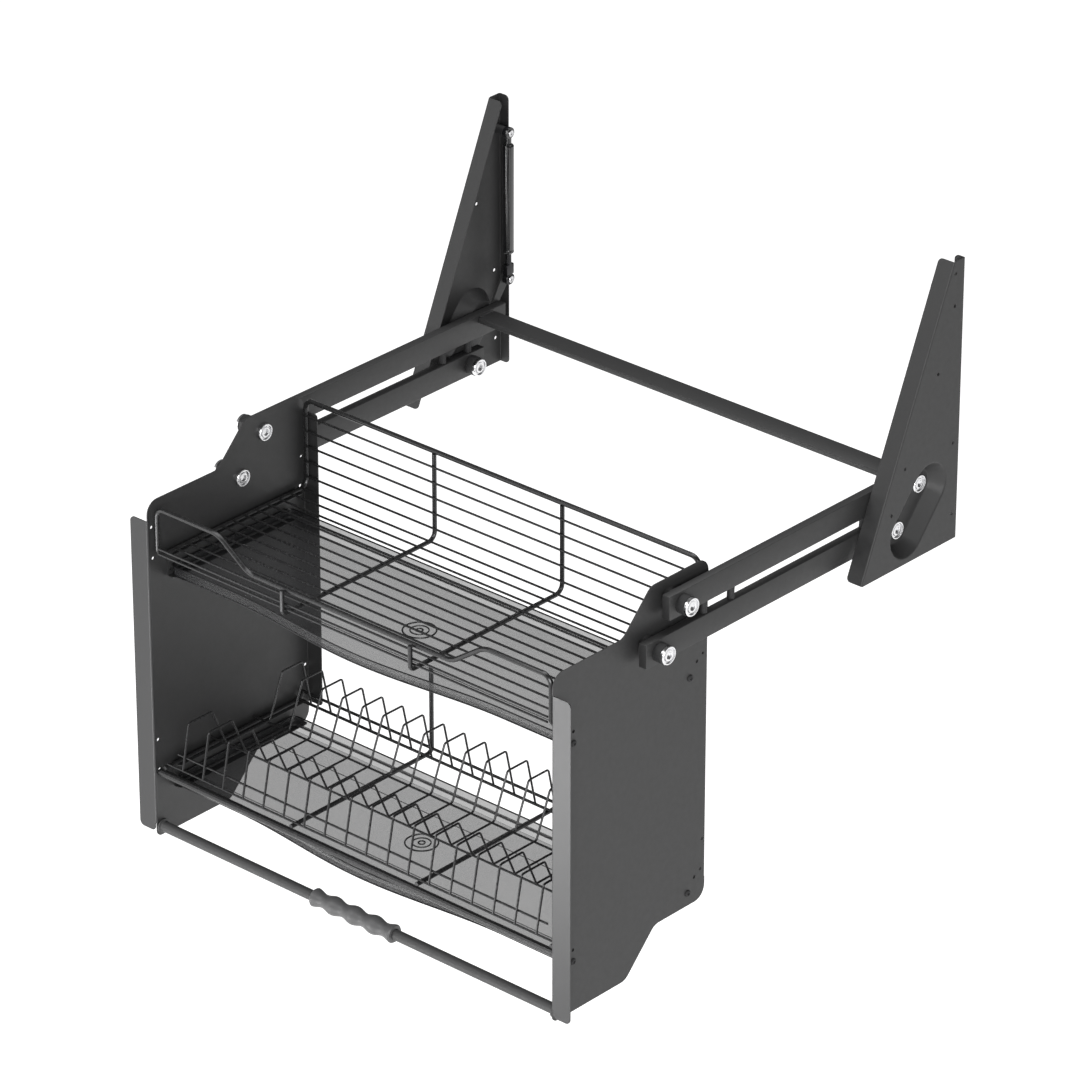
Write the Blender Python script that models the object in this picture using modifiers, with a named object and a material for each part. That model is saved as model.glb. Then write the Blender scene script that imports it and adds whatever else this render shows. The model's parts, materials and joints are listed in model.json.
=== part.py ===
"""Pull down dish rack for a wall cabinet, built piece by piece.

Metres, +Z up, +X to the rack's right, -Y towards the user. The origin lies midway between the
two wall housings, on the line of their bottom rear corners. The rack is shown pulled down.
"""
import math

import bmesh
import bpy
from mathutils import Matrix, Vector

# Gaps and overruns
FIT = 0.0003
RUNNING_FIT = 0.0004
WELD = 0.0006
OVERRUN = 0.004

# Sheet metal and wire
SHEET = 0.0015
BRACKET_SHEET = 0.0012
TRAY_SHEET = 0.001
THIN_WIRE = 0.0015
LOOP_WIRE = 0.00125
FRAME_ROD = 0.003
RIM_ROD = 0.00325
RAIL_ROD = 0.002
BAR_ROD = 0.005

# Wall housings
HOUSING_HALF_WIDTH = 0.382
HOUSING_HEIGHT = 0.380
HOUSING_TOP_DEPTH = 0.021
HOUSING_BOTTOM_DEPTH = 0.1855
FRONT_FLANGE = 0.024
REAR_FLANGE = 0.016
POCKET_DEPTH = 0.019
POCKET_RIM_RADIUS = 0.0325
POCKET_FLOOR_RADIUS = 0.020
SCREW_HOLE_RADIUS = 0.0025
HOUSING_SCREWS = (
    (-0.0185, 0.364), (-0.018, 0.321), (-0.0125, 0.134), (-0.0105, 0.036),
    (-0.046, 0.239), (-0.106, 0.132), (-0.130, 0.077))

# Swing arms and their pivots
UPPER_PIVOT_Y = -0.057
UPPER_PIVOT_Z = 0.089
PIVOT_STEP_Y = 0.0415
PIVOT_STEP_Z = 0.0485
ARM_LENGTH = 0.434
ARM_TO_WALL = 0.026
ARM_THICKNESS = 0.012
ARM_HEIGHT = 0.032
ARM_EDGE = 0.0012
ARM_REAR_OVERHANG = 0.026
ARM_FRONT_OVERHANG = 0.0225
BUFFER_RADIUS = 0.005
BUFFER_PLACES = (0.041, 0.089, 0.338, 0.388)

# Cross bar
CROSS_BAR_DEPTH = 0.031
CROSS_BAR_HEIGHT = 0.0075
CROSS_BAR_BELOW_ARM_TOP = 0.0035
CROSS_BAR_REAR_Y = -0.053

# Bolts
BOLT_RADIUS = 0.005
BOLT_HEAD_RADIUS = 0.012
BOLT_HEAD = 0.004
BOLT_HEAD_DOME = 0.001
SOCKET_RADIUS = 0.004
SOCKET_DEPTH = 0.002
SHOULDER_RADIUS = 0.009
SLEEVE_RADIUS = 0.0125
SLEEVE_LENGTH = 0.0125
NUT_RADIUS = 0.0115

# Gas struts and their levers
STRUT_TO_WALL = 0.030
STRUT_TOP_Y = -0.0165
STRUT_TOP_Z = 0.338
STRUT_RADIUS = 0.0075
STRUT_NECK_RADIUS = 0.0038
STRUT_EYE_RADIUS = 0.0078
STRUT_EYE_WIDTH = 0.008
STRUT_TUBE_START = 0.016
STRUT_TUBE_END = 0.1685
STRUT_BORE_RADIUS = 0.0045
STRUT_ROD_RADIUS = 0.004
STRUT_ROD_INSIDE = 0.125
STRUT_PIN_RADIUS = 0.003
STRUT_SHOULDER_RADIUS = 0.006
STRUT_SCREW_RADIUS = 0.0045
STRUT_SCREW_HEAD = 0.0015
FORK_LENGTH = 0.028
FORK_WIDTH = 0.013
LEVER_PIN_Y = -0.017
LEVER_PIN_Z = 0.1325
LEVER_THICKNESS = 0.003
LEVER_EYE_RADIUS = 0.008
LEVER_FOOT = 0.013
LEVER_SHOULDER = 0.100

# Carriage side panels, their depths counted from the front pivots
PANEL_TO_ARM = 0.008
PANEL_AHEAD = 0.2075
PANEL_BEHIND = 0.072
PANEL_FRONT_TOP_Z = 0.066
PANEL_REAR_TOP_Z = 0.117
PANEL_BOTTOM_Z = -0.406
PANEL_STEP_Z = -0.351
PANEL_RAMP_TOP = 0.033
PANEL_RAMP_BOTTOM = 0.083
PANEL_STEP = 0.021
PANEL_NOTCH = 0.075
PANEL_CORNER = 0.018
PANEL_FOOT_CORNER = 0.008
PANEL_FRONT_HOLES = ((0.0075, 0.039), (0.0085, -0.004), (0.037, -0.013))
PANEL_REAR_HOLES = ((0.020, -0.008), (0.009, -0.001), (0.006, 0.040))
BRACKET_FRONT_SCREW = (0.037, -0.029)
BRACKET_REAR_SCREW = (0.0325, -0.026)
STRIP_WIDTH = 0.0283
STRIP_TOP_Z = 0.040
STRIP_BOTTOM_Z = -0.398
STRIP_CORNER = 0.007
STRIP_FOOT_CORNER = 0.011
PANEL_FLANGE = 0.0255
FLANGE_TOP_Z = 0.094
FLANGE_BOTTOM_Z = -0.322

# Handle
HANDLE_SETBACK = 0.0105
HANDLE_Z = -0.3935
HANDLE_RADIUS = 0.007
COLLAR_RADIUS = 0.010
COLLAR_LENGTH = 0.0025
GRIP_LENGTH = 0.136
GRIP_RADIUS = 0.0125
GRIP_WAIST = 0.0095
GRIP_BULGES = 4

# Baskets
UPPER_FLOOR_Z = -0.009
LOWER_FLOOR_Z = -0.3075
SIDE_ROD_INSET = 0.010
BASKET_FRONT_SETBACK = 0.009
BASKET_BACK_SETBACK = 0.0053
SUPPORT_INSET = 0.220
BASKET_BACK_HEIGHT = 0.1216
BASKET_RAIL_HEIGHT = 0.068
RAIL_DIP = 0.036
RAIL_HIGH_INSET = 0.106
RAIL_LOW_INSET = 0.158
RIM_BEND = 0.013
SUPPORT_BEND = 0.012
HOOK_BEND = 0.007
HOOK_HEIGHT = 0.033
BACK_WIRE_LIFT = 0.0165
BACK_WIRE_PITCH = 0.0212
BACK_WIRES = 5
FLOOR_WIRE_SETBACK = 0.0147
FLOOR_WIRE_END = 0.02665
FLOOR_WIRES = 12
FRONT_WIRE_PITCH = 0.007
FRONT_WIRES = 2

# Plate rack and its frame
LOOPS = 18
LOOP_END_GAP = 0.02765
LOOP_BEND = 0.0035
LOOP_FRONT_SETBACK = 0.0045
LOOP_REAR_SETBACK = 0.0282
LOOP_FRONT_HEIGHT = 0.063
LOOP_REAR_HEIGHT = 0.0695
LOOP_FRONT_LEAN = 0.013
LOOP_FRONT_TOP = 0.041
LOOP_FRONT_FALL = 0.024
LOOP_VALLEY_LIFT = 0.0085
LOOP_REAR_RISE = 0.025
LOOP_REAR_TOP = 0.036
LOOP_REAR_FALL = 0.0155
STAY_HEIGHT = 0.0165
FRONT_BAR_DROP = 0.0075
REAR_RAIL_LIFT = 0.0085

# Drip trays and the brackets that carry baskets and trays
TRAY_DROP = 0.0355
TRAY_WALL = 0.0135
TRAY_SIDE_GAP = 0.0015
TRAY_REAR_SETBACK = 0.0267
TRAY_FRONT_SETBACK = 0.0245
TRAY_BULGE = 0.017
TRAY_BULGE_INSET = 0.096
TRAY_CORNER = 0.010
DRAIN_RADIUS = 0.021
DRAIN_RING_RADIUS = 0.0115
DRAIN_HUB_RADIUS = 0.004
DRAIN_STEP = 0.0009
BRACKET_LEDGE = 0.0135
BRACKET_FRONT_SETBACK = 0.0385
BRACKET_REAR_SETBACK = 0.017

# Mesh fineness
ROUND_STEPS = 12
SLOT_STEPS = 16
SMALL_HOLE_STEPS = 8
GRIP_STEPS = 16
BEND_STEPS = 2

# Sizes worked out from those above
ARM_OUTER_X = HOUSING_HALF_WIDTH - ARM_TO_WALL
ARM_INNER_X = ARM_OUTER_X - ARM_THICKNESS
STRUT_X = HOUSING_HALF_WIDTH - STRUT_TO_WALL
POCKET_FLOOR_X = HOUSING_HALF_WIDTH - POCKET_DEPTH
PANEL_OUTER_X = ARM_INNER_X - PANEL_TO_ARM
PANEL_INNER_X = PANEL_OUTER_X - SHEET
SIDE_ROD_X = PANEL_OUTER_X - SIDE_ROD_INSET
FRONT_PIVOT_Y = UPPER_PIVOT_Y - ARM_LENGTH
PANEL_FRONT_Y = FRONT_PIVOT_Y - PANEL_AHEAD
PANEL_REAR_Y = FRONT_PIVOT_Y + PANEL_BEHIND
BRACKET_FRONT_Y = PANEL_FRONT_Y + BRACKET_FRONT_SETBACK
BRACKET_REAR_Y = PANEL_REAR_Y - BRACKET_REAR_SETBACK
BASKET_FRONT_Y = PANEL_FRONT_Y + BASKET_FRONT_SETBACK
BASKET_BACK_Y = PANEL_REAR_Y - BASKET_BACK_SETBACK
HANDLE_Y = PANEL_FRONT_Y + HANDLE_SETBACK
SUPPORT_X = SIDE_ROD_X - SUPPORT_INSET
TRAY_FRONT_Y = BASKET_FRONT_Y + TRAY_FRONT_SETBACK
TRAY_REAR_Y = BASKET_BACK_Y - TRAY_REAR_SETBACK
FLOOR_WIRE_ROOM = BASKET_BACK_Y - BASKET_FRONT_Y - FLOOR_WIRE_SETBACK - FLOOR_WIRE_END
FLOOR_WIRE_PITCH = FLOOR_WIRE_ROOM / (FLOOR_WIRES - 1)
LOOP_PITCH = 2 * (SIDE_ROD_X - LOOP_END_GAP) / (LOOPS - 1)
LOOP_FRONT_Y = BASKET_FRONT_Y + LOOP_FRONT_SETBACK
LOOP_REAR_Y = BASKET_BACK_Y - LOOP_REAR_SETBACK
LOOP_FRONT_RUN = LOOP_FRONT_LEAN + LOOP_FRONT_TOP + LOOP_FRONT_FALL
LOOP_REAR_RUN = LOOP_REAR_RISE + LOOP_REAR_TOP + LOOP_REAR_FALL
LOOP_VALLEY = LOOP_REAR_Y - LOOP_FRONT_Y - LOOP_FRONT_RUN - LOOP_REAR_RUN
LOWER_PIVOT_Y = UPPER_PIVOT_Y - PIVOT_STEP_Y
LOWER_PIVOT_Z = UPPER_PIVOT_Z - PIVOT_STEP_Z
REAR_PIVOTS = {"upper": (UPPER_PIVOT_Y, UPPER_PIVOT_Z), "lower": (LOWER_PIVOT_Y, LOWER_PIVOT_Z)}
FRONT_PIVOTS = {level: (y - ARM_LENGTH, z) for level, (y, z) in REAR_PIVOTS.items()}
SIDES = {"left": -1, "right": 1}
LEVELS = {"upper": UPPER_FLOOR_Z, "lower": LOWER_FLOOR_Z}
DRAIN_Y = (TRAY_REAR_Y + TRAY_FRONT_Y - TRAY_BULGE) / 2

# Finishes: base colour, roughness, metallic
FINISHES = {
    "coated_steel": ((0.070, 0.070, 0.072), 0.45, 0.2),
    "coated_strip": ((0.200, 0.200, 0.205), 0.40, 0.3),
    "black_wire": ((0.020, 0.020, 0.021), 0.40, 0.2),
    "bright_steel": ((0.650, 0.650, 0.660), 0.22, 1.0),
    "black_gloss": ((0.012, 0.012, 0.013), 0.15, 0.3),
    "black_rubber": ((0.030, 0.030, 0.030), 0.80, 0.0),
    "grey_tray": ((0.330, 0.330, 0.335), 0.50, 0.1),
    "grey_grip": ((0.120, 0.120, 0.122), 0.55, 0.0),
}


def clear_scene():
    """Remove every object that the file opened with."""
    for old in list(bpy.data.objects):
        bpy.data.objects.remove(old)


def new_collection(name):
    """Return a new collection linked to the scene."""
    group = bpy.data.collections.new(name)
    bpy.context.scene.collection.children.link(group)
    return group


def finish_material(name):
    """Return the finish's material, making it the first time it is asked for."""
    known = bpy.data.materials.get(name)
    if known:
        return known
    colour, roughness, metallic = FINISHES[name]
    made = bpy.data.materials.new(name)
    made.use_nodes = True
    shader = made.node_tree.nodes["Principled BSDF"]
    shader.inputs["Base Color"].default_value = (*colour, 1)
    shader.inputs["Roughness"].default_value = roughness
    shader.inputs["Metallic"].default_value = metallic
    return made


def place(name, data, finish, location=(0, 0, 0), turn=(0, 0, 0)):
    """Make an object of the rack from a mesh or curve, in its finish and place."""
    made = bpy.data.objects.new(name, data)
    made.location = location
    made.rotation_euler = turn
    PARTS.objects.link(made)
    made.data.materials.append(finish_material(finish))
    return made


def keep_as_tool(tool):
    """Put an object among the cutters, where it shapes others and isn't built."""
    for owner in list(tool.users_collection):
        owner.objects.unlink(tool)
    TOOLS.objects.link(tool)
    tool.hide_render = True
    tool.display_type = "WIRE"
    return tool


def combine(target, tool, operation):
    """Join a tool to the target, or cut it out of the target."""
    step = target.modifiers.new(operation.lower(), "BOOLEAN")
    step.operation = operation
    step.object = keep_as_tool(tool)
    return target


def mesh_from(bm, name):
    """Turn a bmesh into a mesh whose faces point out."""
    bmesh.ops.recalc_face_normals(bm, faces=bm.faces)
    mesh = bpy.data.meshes.new(name)
    bm.to_mesh(mesh)
    bm.free()
    return mesh


def block(name, low, high, finish, origin=(0, 0, 0), edge=0):
    """Make a box between two corners, its edges rounded over if asked."""
    bm = bmesh.new()
    bmesh.ops.create_cube(bm, size=1)
    size = Vector(high) - Vector(low)
    middle = (Vector(high) + Vector(low)) / 2
    bmesh.ops.transform(bm, matrix=Matrix.Diagonal((*size, 1)), verts=bm.verts)
    bmesh.ops.translate(bm, vec=middle - Vector(origin), verts=bm.verts)
    made = place(name, mesh_from(bm, name), finish, origin)
    if edge:
        rounding = made.modifiers.new("rounded_edges", "BEVEL")
        rounding.width = edge
        rounding.segments = BEND_STEPS
    return made


def side_block(name, side, inner_x, outer_x, low_yz, high_yz, finish, origin=(0, 0, 0), edge=0):
    """Make a box on the left or right side from its distances to the middle plane."""
    ends = sorted((side * inner_x, side * outer_x))
    return block(name, (ends[0], *low_yz), (ends[1], *high_yz), finish, origin, edge)


def turned(name, profile, finish, location, turn, steps=ROUND_STEPS, closed=False):
    """Turn a profile of (radius, height) points, given from top to bottom, about its axis."""
    bm = bmesh.new()
    corners = [bm.verts.new((radius, 0, height)) for radius, height in profile]
    links = list(zip(corners, corners[1:]))
    if closed:
        links.append((corners[-1], corners[0]))
    for pair in links:
        bm.edges.new(pair)
    mesh = bpy.data.meshes.new(name)
    bm.to_mesh(mesh)
    bm.free()
    made = place(name, mesh, finish, location, turn)
    spin = made.modifiers.new("turning", "SCREW")
    spin.axis = "Z"
    spin.angle = math.tau
    spin.steps = steps
    spin.render_steps = steps
    spin.use_merge_vertices = True
    spin.merge_threshold = FIT / 10
    return made


def facing_out(side):
    """Return the turn that points a profile's axis away from the middle plane."""
    return (0, side * math.pi / 2, 0)


def hole_cutter(name, side, centres, radius, inner_x, outer_x, steps=ROUND_STEPS):
    """Make one cutter that holds a cylinder along X at each (y, z) centre."""
    bm = bmesh.new()
    length = outer_x - inner_x
    across = Matrix.Rotation(math.pi / 2, 4, "Y")
    for y, z in centres:
        spot = Matrix.Translation((side * (inner_x + outer_x) / 2, y, z))
        bmesh.ops.create_cone(
            bm, cap_ends=True, segments=steps, radius1=radius, radius2=radius,
            depth=length, matrix=spot @ across)
    return place(name, mesh_from(bm, name), "coated_steel")


def rounded(points, radius, closed=False, steps=BEND_STEPS):
    """Return the path through the points with an arc at each inner corner.

    The radius is one number for all corners or a list with one for each.
    """
    points = [Vector(point) for point in points]
    count = len(points)
    radii = radius if isinstance(radius, list) else [radius] * count
    path = []
    for index, corner in enumerate(points):
        if not closed and index in (0, count - 1):
            path.append(corner)
            continue
        back = points[index - 1] - corner
        ahead = points[(index + 1) % count] - corner
        half = back.angle(ahead) / 2
        reach = radii[index] / math.tan(half)
        start = back.normalized() * reach
        end = ahead.normalized() * reach
        bisector = (back.normalized() + ahead.normalized()).normalized()
        centre = bisector * (radii[index] / math.sin(half))
        sweep = math.pi - 2 * half
        for step in range(steps + 1):
            share = step / steps
            weight_start = math.sin((1 - share) * sweep) / math.sin(sweep)
            weight_end = math.sin(share * sweep) / math.sin(sweep)
            arm = (start - centre) * weight_start + (end - centre) * weight_end
            path.append(corner + centre + arm)
    return path


def wires(name, paths, radius, finish, closed=False, fineness=1):
    """Bend round wire along each path and return them together as one mesh object."""
    curve = bpy.data.curves.new(name + "_path", "CURVE")
    curve.dimensions = "3D"
    curve.bevel_depth = radius
    curve.bevel_resolution = fineness
    curve.use_fill_caps = not closed
    for path in paths:
        spline = curve.splines.new("POLY")
        spline.points.add(len(path) - 1)
        spline.use_cyclic_u = closed
        for point, place_of_point in zip(spline.points, path):
            point.co = (*place_of_point, 1)
    return as_mesh(place(name + "_path", curve, finish), name, finish)


def as_mesh(source, name, finish):
    """Replace a curve object by a closed mesh object of the same shape and place."""
    graph = bpy.context.evaluated_depsgraph_get()
    graph.update()
    mesh = bpy.data.meshes.new_from_object(source.evaluated_get(graph))
    matrix = source.matrix_world.copy()
    bpy.data.objects.remove(source)
    bm = bmesh.new()
    bm.from_mesh(mesh)
    bmesh.ops.remove_doubles(bm, verts=bm.verts, dist=FIT / 10)
    bmesh.ops.recalc_face_normals(bm, faces=bm.faces)
    bm.to_mesh(mesh)
    bm.free()
    mesh.materials.clear()
    made = place(name, mesh, finish)
    made.matrix_world = matrix
    return made


def flat_plate(name, outline, thickness, finish, location, turn=(0, 0, 0)):
    """Cut a plate to a closed outline, its thickness centred on its own plane."""
    curve = bpy.data.curves.new(name + "_outline", "CURVE")
    curve.dimensions = "2D"
    curve.fill_mode = "BOTH"
    curve.extrude = thickness / 2
    spline = curve.splines.new("POLY")
    spline.points.add(len(outline) - 1)
    spline.use_cyclic_u = True
    for point, corner in zip(spline.points, outline):
        point.co = (corner[0], corner[1], 0, 1)
    source = place(name + "_outline", curve, finish, location, turn)
    bpy.context.view_layer.update()
    return as_mesh(source, name, finish)


UPRIGHT = (math.pi / 2, 0, math.pi / 2)


def obround_ring(bm, x, radius):
    """Add the ring of a slot outline round both rear pivots, in the plane at x."""
    upper = Vector((UPPER_PIVOT_Y, UPPER_PIVOT_Z))
    lower = Vector((LOWER_PIVOT_Y, LOWER_PIVOT_Z))
    heading = math.atan2(upper.y - lower.y, upper.x - lower.x)
    half = SLOT_STEPS // 2
    ring = []
    for centre, start in ((upper, heading - math.pi / 2), (lower, heading + math.pi / 2)):
        for step in range(half + 1):
            angle = start + math.pi * step / half
            y = centre.x + radius * math.cos(angle)
            z = centre.y + radius * math.sin(angle)
            ring.append(bm.verts.new((x, y, z)))
    for first, second in zip(ring, ring[1:] + ring[:1]):
        bm.edges.new((first, second))
    return ring


def tapered_slot(name, near_x, near_radius, far_x, far_radius):
    """Make the solid between two slot outlines of unlike size."""
    bm = bmesh.new()
    for x, radius in ((near_x, near_radius), (far_x, far_radius)):
        ring = obround_ring(bm, x, radius)
        bm.faces.new(ring)
    bmesh.ops.bridge_loops(bm, edges=bm.edges)
    return place(name, mesh_from(bm, name), "coated_steel")


def folded_sheet(name, outline, folds, finish, origin=(0, 0, 0)):
    """Fold a flat sheet: flanges rise from chosen edges of an outline in the Y-Z plane.

    Each fold is (first corner, second corner, signed width along X).
    """
    bm = bmesh.new()
    corners = [bm.verts.new(Vector(point) - Vector(origin)) for point in outline]
    bm.faces.new(corners)
    for first, second, width in folds:
        edge = bm.edges.get((corners[first], corners[second]))
        grown = bmesh.ops.extrude_edge_only(bm, edges=[edge])["geom"]
        lifted = [item for item in grown if isinstance(item, bmesh.types.BMVert)]
        bmesh.ops.translate(bm, vec=(width, 0, 0), verts=lifted)
    made = place(name, mesh_from(bm, name), finish, origin)
    wall = made.modifiers.new("sheet", "SOLIDIFY")
    wall.thickness = SHEET
    wall.offset = 0
    wall.use_even_offset = True
    return made


def build_housing(word, side):
    """Build one wall housing with its bolt pocket and screw holes."""
    half = SHEET / 2
    web_x = side * (HOUSING_HALF_WIDTH - half)
    rear = -half
    outline = [
        (web_x, -HOUSING_BOTTOM_DEPTH, 0),
        (web_x, rear, 0),
        (web_x, rear, HOUSING_HEIGHT),
        (web_x, -HOUSING_TOP_DEPTH, HOUSING_HEIGHT),
    ]
    folds = [(1, 2, -side * (REAR_FLANGE - half)), (3, 0, -side * (FRONT_FLANGE - half))]
    housing = folded_sheet("housing_" + word, outline, folds, "coated_steel")
    cup = tapered_slot(
        "pocket_cup_" + word, web_x, POCKET_RIM_RADIUS + SHEET,
        side * (POCKET_FLOOR_X - SHEET), POCKET_FLOOR_RADIUS + SHEET)
    spread = (POCKET_RIM_RADIUS - POCKET_FLOOR_RADIUS) * OVERRUN / POCKET_DEPTH
    recess = tapered_slot(
        "pocket_recess_" + word, side * (HOUSING_HALF_WIDTH + OVERRUN), POCKET_RIM_RADIUS + spread,
        side * POCKET_FLOOR_X, POCKET_FLOOR_RADIUS)
    combine(housing, cup, "UNION")
    combine(housing, recess, "DIFFERENCE")
    bolt_holes = hole_cutter(
        "pocket_holes_" + word, side, REAR_PIVOTS.values(), BOLT_RADIUS + RUNNING_FIT,
        POCKET_FLOOR_X - SHEET - OVERRUN, HOUSING_HALF_WIDTH)
    screw_holes = hole_cutter(
        "screw_holes_" + word, side, HOUSING_SCREWS, SCREW_HOLE_RADIUS,
        HOUSING_HALF_WIDTH - SHEET - OVERRUN, HOUSING_HALF_WIDTH + OVERRUN, SMALL_HOLE_STEPS)
    combine(housing, bolt_holes, "DIFFERENCE")
    combine(housing, screw_holes, "DIFFERENCE")
    return housing


def head_profile(radius, top, bottom):
    """Return the top of a round head with a domed rim and a drive socket."""
    return [
        (0, top - SOCKET_DEPTH),
        (SOCKET_RADIUS, top - SOCKET_DEPTH),
        (SOCKET_RADIUS, top),
        (radius - BOLT_HEAD_DOME, top),
        (radius, top - BOLT_HEAD_DOME),
        (radius, bottom),
    ]


def build_housing_pin(word, side, level):
    """Build the pin riveted in the pocket, on which the rear end of an arm turns."""
    y, z = REAR_PIVOTS[level]
    seat = POCKET_FLOOR_X + FIT
    shoulder_top = POCKET_FLOOR_X - SHEET - FIT
    shoulder_end = ARM_OUTER_X + FIT
    tip = ARM_INNER_X + ARM_EDGE + FIT
    profile = head_profile(BOLT_HEAD_RADIUS, seat + BOLT_HEAD, seat) + [
        (BOLT_RADIUS, seat),
        (BOLT_RADIUS, shoulder_top),
        (SHOULDER_RADIUS, shoulder_top),
        (SHOULDER_RADIUS, shoulder_end),
        (BOLT_RADIUS, shoulder_end),
    ]
    if level == "lower":
        sleeve_end = ARM_INNER_X - SLEEVE_LENGTH
        tail = sleeve_end - BOLT_HEAD - FIT
        profile += [
            (BOLT_RADIUS, sleeve_end - FIT),
            (BOLT_HEAD_RADIUS, sleeve_end - FIT),
            (BOLT_HEAD_RADIUS, tail + BOLT_HEAD_DOME),
            (BOLT_HEAD_RADIUS - BOLT_HEAD_DOME, tail),
            (0, tail),
        ]
    else:
        profile += [(BOLT_RADIUS, tip), (0, tip)]
    return turned(f"{level}_pivot_pin_{word}", profile, "bright_steel", (0, y, z), facing_out(side))


def build_sleeve(name, side, y, z, inner_x):
    """Build a spacer sleeve round a bolt, starting at its distance from the middle plane."""
    bore = BOLT_RADIUS + RUNNING_FIT
    top = inner_x + SLEEVE_LENGTH - FIT
    bottom = inner_x + FIT
    profile = [(bore, top), (SLEEVE_RADIUS, top), (SLEEVE_RADIUS, bottom), (bore, bottom)]
    return turned(name, profile, "black_rubber", (0, y, z), facing_out(side), closed=True)


def build_arm(word, side, level):
    """Build one swing arm, its origin on its rear pivot."""
    y, z = REAR_PIVOTS[level]
    front_y = y - ARM_LENGTH
    half = ARM_HEIGHT / 2
    arm = side_block(
        f"{level}_arm_{word}", side, ARM_INNER_X, ARM_OUTER_X,
        (front_y - ARM_FRONT_OVERHANG, z - half), (y + ARM_REAR_OVERHANG, z + half),
        "coated_steel", (0, y, z), ARM_EDGE)
    blind = ARM_EDGE if level == "upper" else -OVERRUN
    for end, end_y, inner in (("rear", y, blind), ("front", front_y, -OVERRUN)):
        hole = hole_cutter(
            f"{level}_arm_{end}_hole_{word}", side, [(end_y, z)], BOLT_RADIUS + RUNNING_FIT,
            ARM_INNER_X + inner, ARM_OUTER_X + OVERRUN)
        combine(arm, hole, "DIFFERENCE")
    return arm


def build_buffers(word, side):
    """Build the stop buffers that stand under an upper arm and rest on the lower arm."""
    gap_top = UPPER_PIVOT_Z - ARM_HEIGHT / 2 - FIT
    gap_bottom = LOWER_PIVOT_Z + ARM_HEIGHT / 2 + FIT
    middle_x = side * (ARM_INNER_X + ARM_OUTER_X) / 2
    profile = [(0, gap_top), (BUFFER_RADIUS, gap_top), (BUFFER_RADIUS, gap_bottom), (0, gap_bottom)]
    for number, distance in enumerate(BUFFER_PLACES, start=1):
        spot = (middle_x, UPPER_PIVOT_Y - distance, 0)
        turned(f"stop_buffer_{word}_{number}", profile, "black_rubber", spot, (0, 0, 0))


def build_cross_bar():
    """Build the flat bar that ties the two upper arms together."""
    top = UPPER_PIVOT_Z + ARM_HEIGHT / 2 - CROSS_BAR_BELOW_ARM_TOP
    end = ARM_INNER_X - FIT
    block("cross_bar", (-end, CROSS_BAR_REAR_Y - CROSS_BAR_DEPTH, top - CROSS_BAR_HEIGHT),
          (end, CROSS_BAR_REAR_Y, top), "coated_steel", (0, UPPER_PIVOT_Y, UPPER_PIVOT_Z), ARM_EDGE)


def build_lever(word, side):
    """Build the lever fixed to the outer side of an upper arm, where the gas strut pushes."""
    foot_z = UPPER_PIVOT_Z - ARM_HEIGHT / 2 + ARM_EDGE
    foot_rear = UPPER_PIVOT_Y + ARM_REAR_OVERHANG - ARM_EDGE
    foot_front = foot_rear - LEVER_FOOT
    pin = Vector((LEVER_PIN_Y, LEVER_PIN_Z))
    outline = [(foot_front, LEVER_SHOULDER), (foot_front, foot_z), (foot_rear, foot_z),
               (foot_rear, LEVER_SHOULDER)]
    lean = math.atan2(LEVER_PIN_Z - foot_z, LEVER_PIN_Y - foot_front)
    turns = ROUND_STEPS // 2
    for step in range(turns + 1):
        angle = lean - math.pi / 2 + math.pi * step / turns
        reach = Vector((math.cos(angle), math.sin(angle))) * LEVER_EYE_RADIUS
        outline.append(tuple(pin + reach))
    inner = ARM_OUTER_X + FIT
    middle = side * (inner + LEVER_THICKNESS / 2)
    lever = flat_plate("strut_lever_" + word, outline, LEVER_THICKNESS, "coated_steel",
                       (middle, 0, 0), UPRIGHT)
    hole = hole_cutter(
        "lever_hole_" + word, side, [(LEVER_PIN_Y, LEVER_PIN_Z)], STRUT_PIN_RADIUS + FIT,
        inner - OVERRUN, inner + LEVER_THICKNESS + OVERRUN)
    return combine(lever, hole, "DIFFERENCE")


def screw_profile(shank_start, seat):
    """Return a socket screw's profile: shank down to its seat, then the head."""
    head_end = seat - STRUT_SCREW_HEAD
    small_socket = STRUT_PIN_RADIUS / 2
    return [
        (STRUT_PIN_RADIUS, shank_start),
        (STRUT_PIN_RADIUS, seat),
        (STRUT_SCREW_RADIUS, seat),
        (STRUT_SCREW_RADIUS, head_end),
        (small_socket, head_end),
        (small_socket, head_end + STRUT_SCREW_HEAD / 2),
        (0, head_end + STRUT_SCREW_HEAD / 2),
    ]


def strut_frame(side):
    """Return the strut's top joint, its length at rest and the turn that aims it down."""
    top = Vector((side * STRUT_X, STRUT_TOP_Y, STRUT_TOP_Z))
    run_y = LEVER_PIN_Y - STRUT_TOP_Y
    run_z = LEVER_PIN_Z - STRUT_TOP_Z
    tilt = math.atan2(run_y, -run_z)
    return top, math.hypot(run_y, run_z), (tilt, 0, 0)


def eye_drum(name, side, drop, radius, width):
    """Make a short cylinder along X, a strut's eye, at a drop below the top joint."""
    top, _, turn = strut_frame(side)
    profile = [(0, width / 2), (radius, width / 2), (radius, -width / 2), (0, -width / 2)]
    drum = turned(name, profile, "black_gloss", (0, 0, 0), (0, 0, 0))
    aim = Matrix.Translation(top) @ Matrix.Rotation(turn[0], 4, "X")
    drum.matrix_world = aim @ Matrix.Translation((0, 0, -drop)) @ Matrix.Rotation(math.pi / 2, 4, "Y")
    return drum


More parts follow.
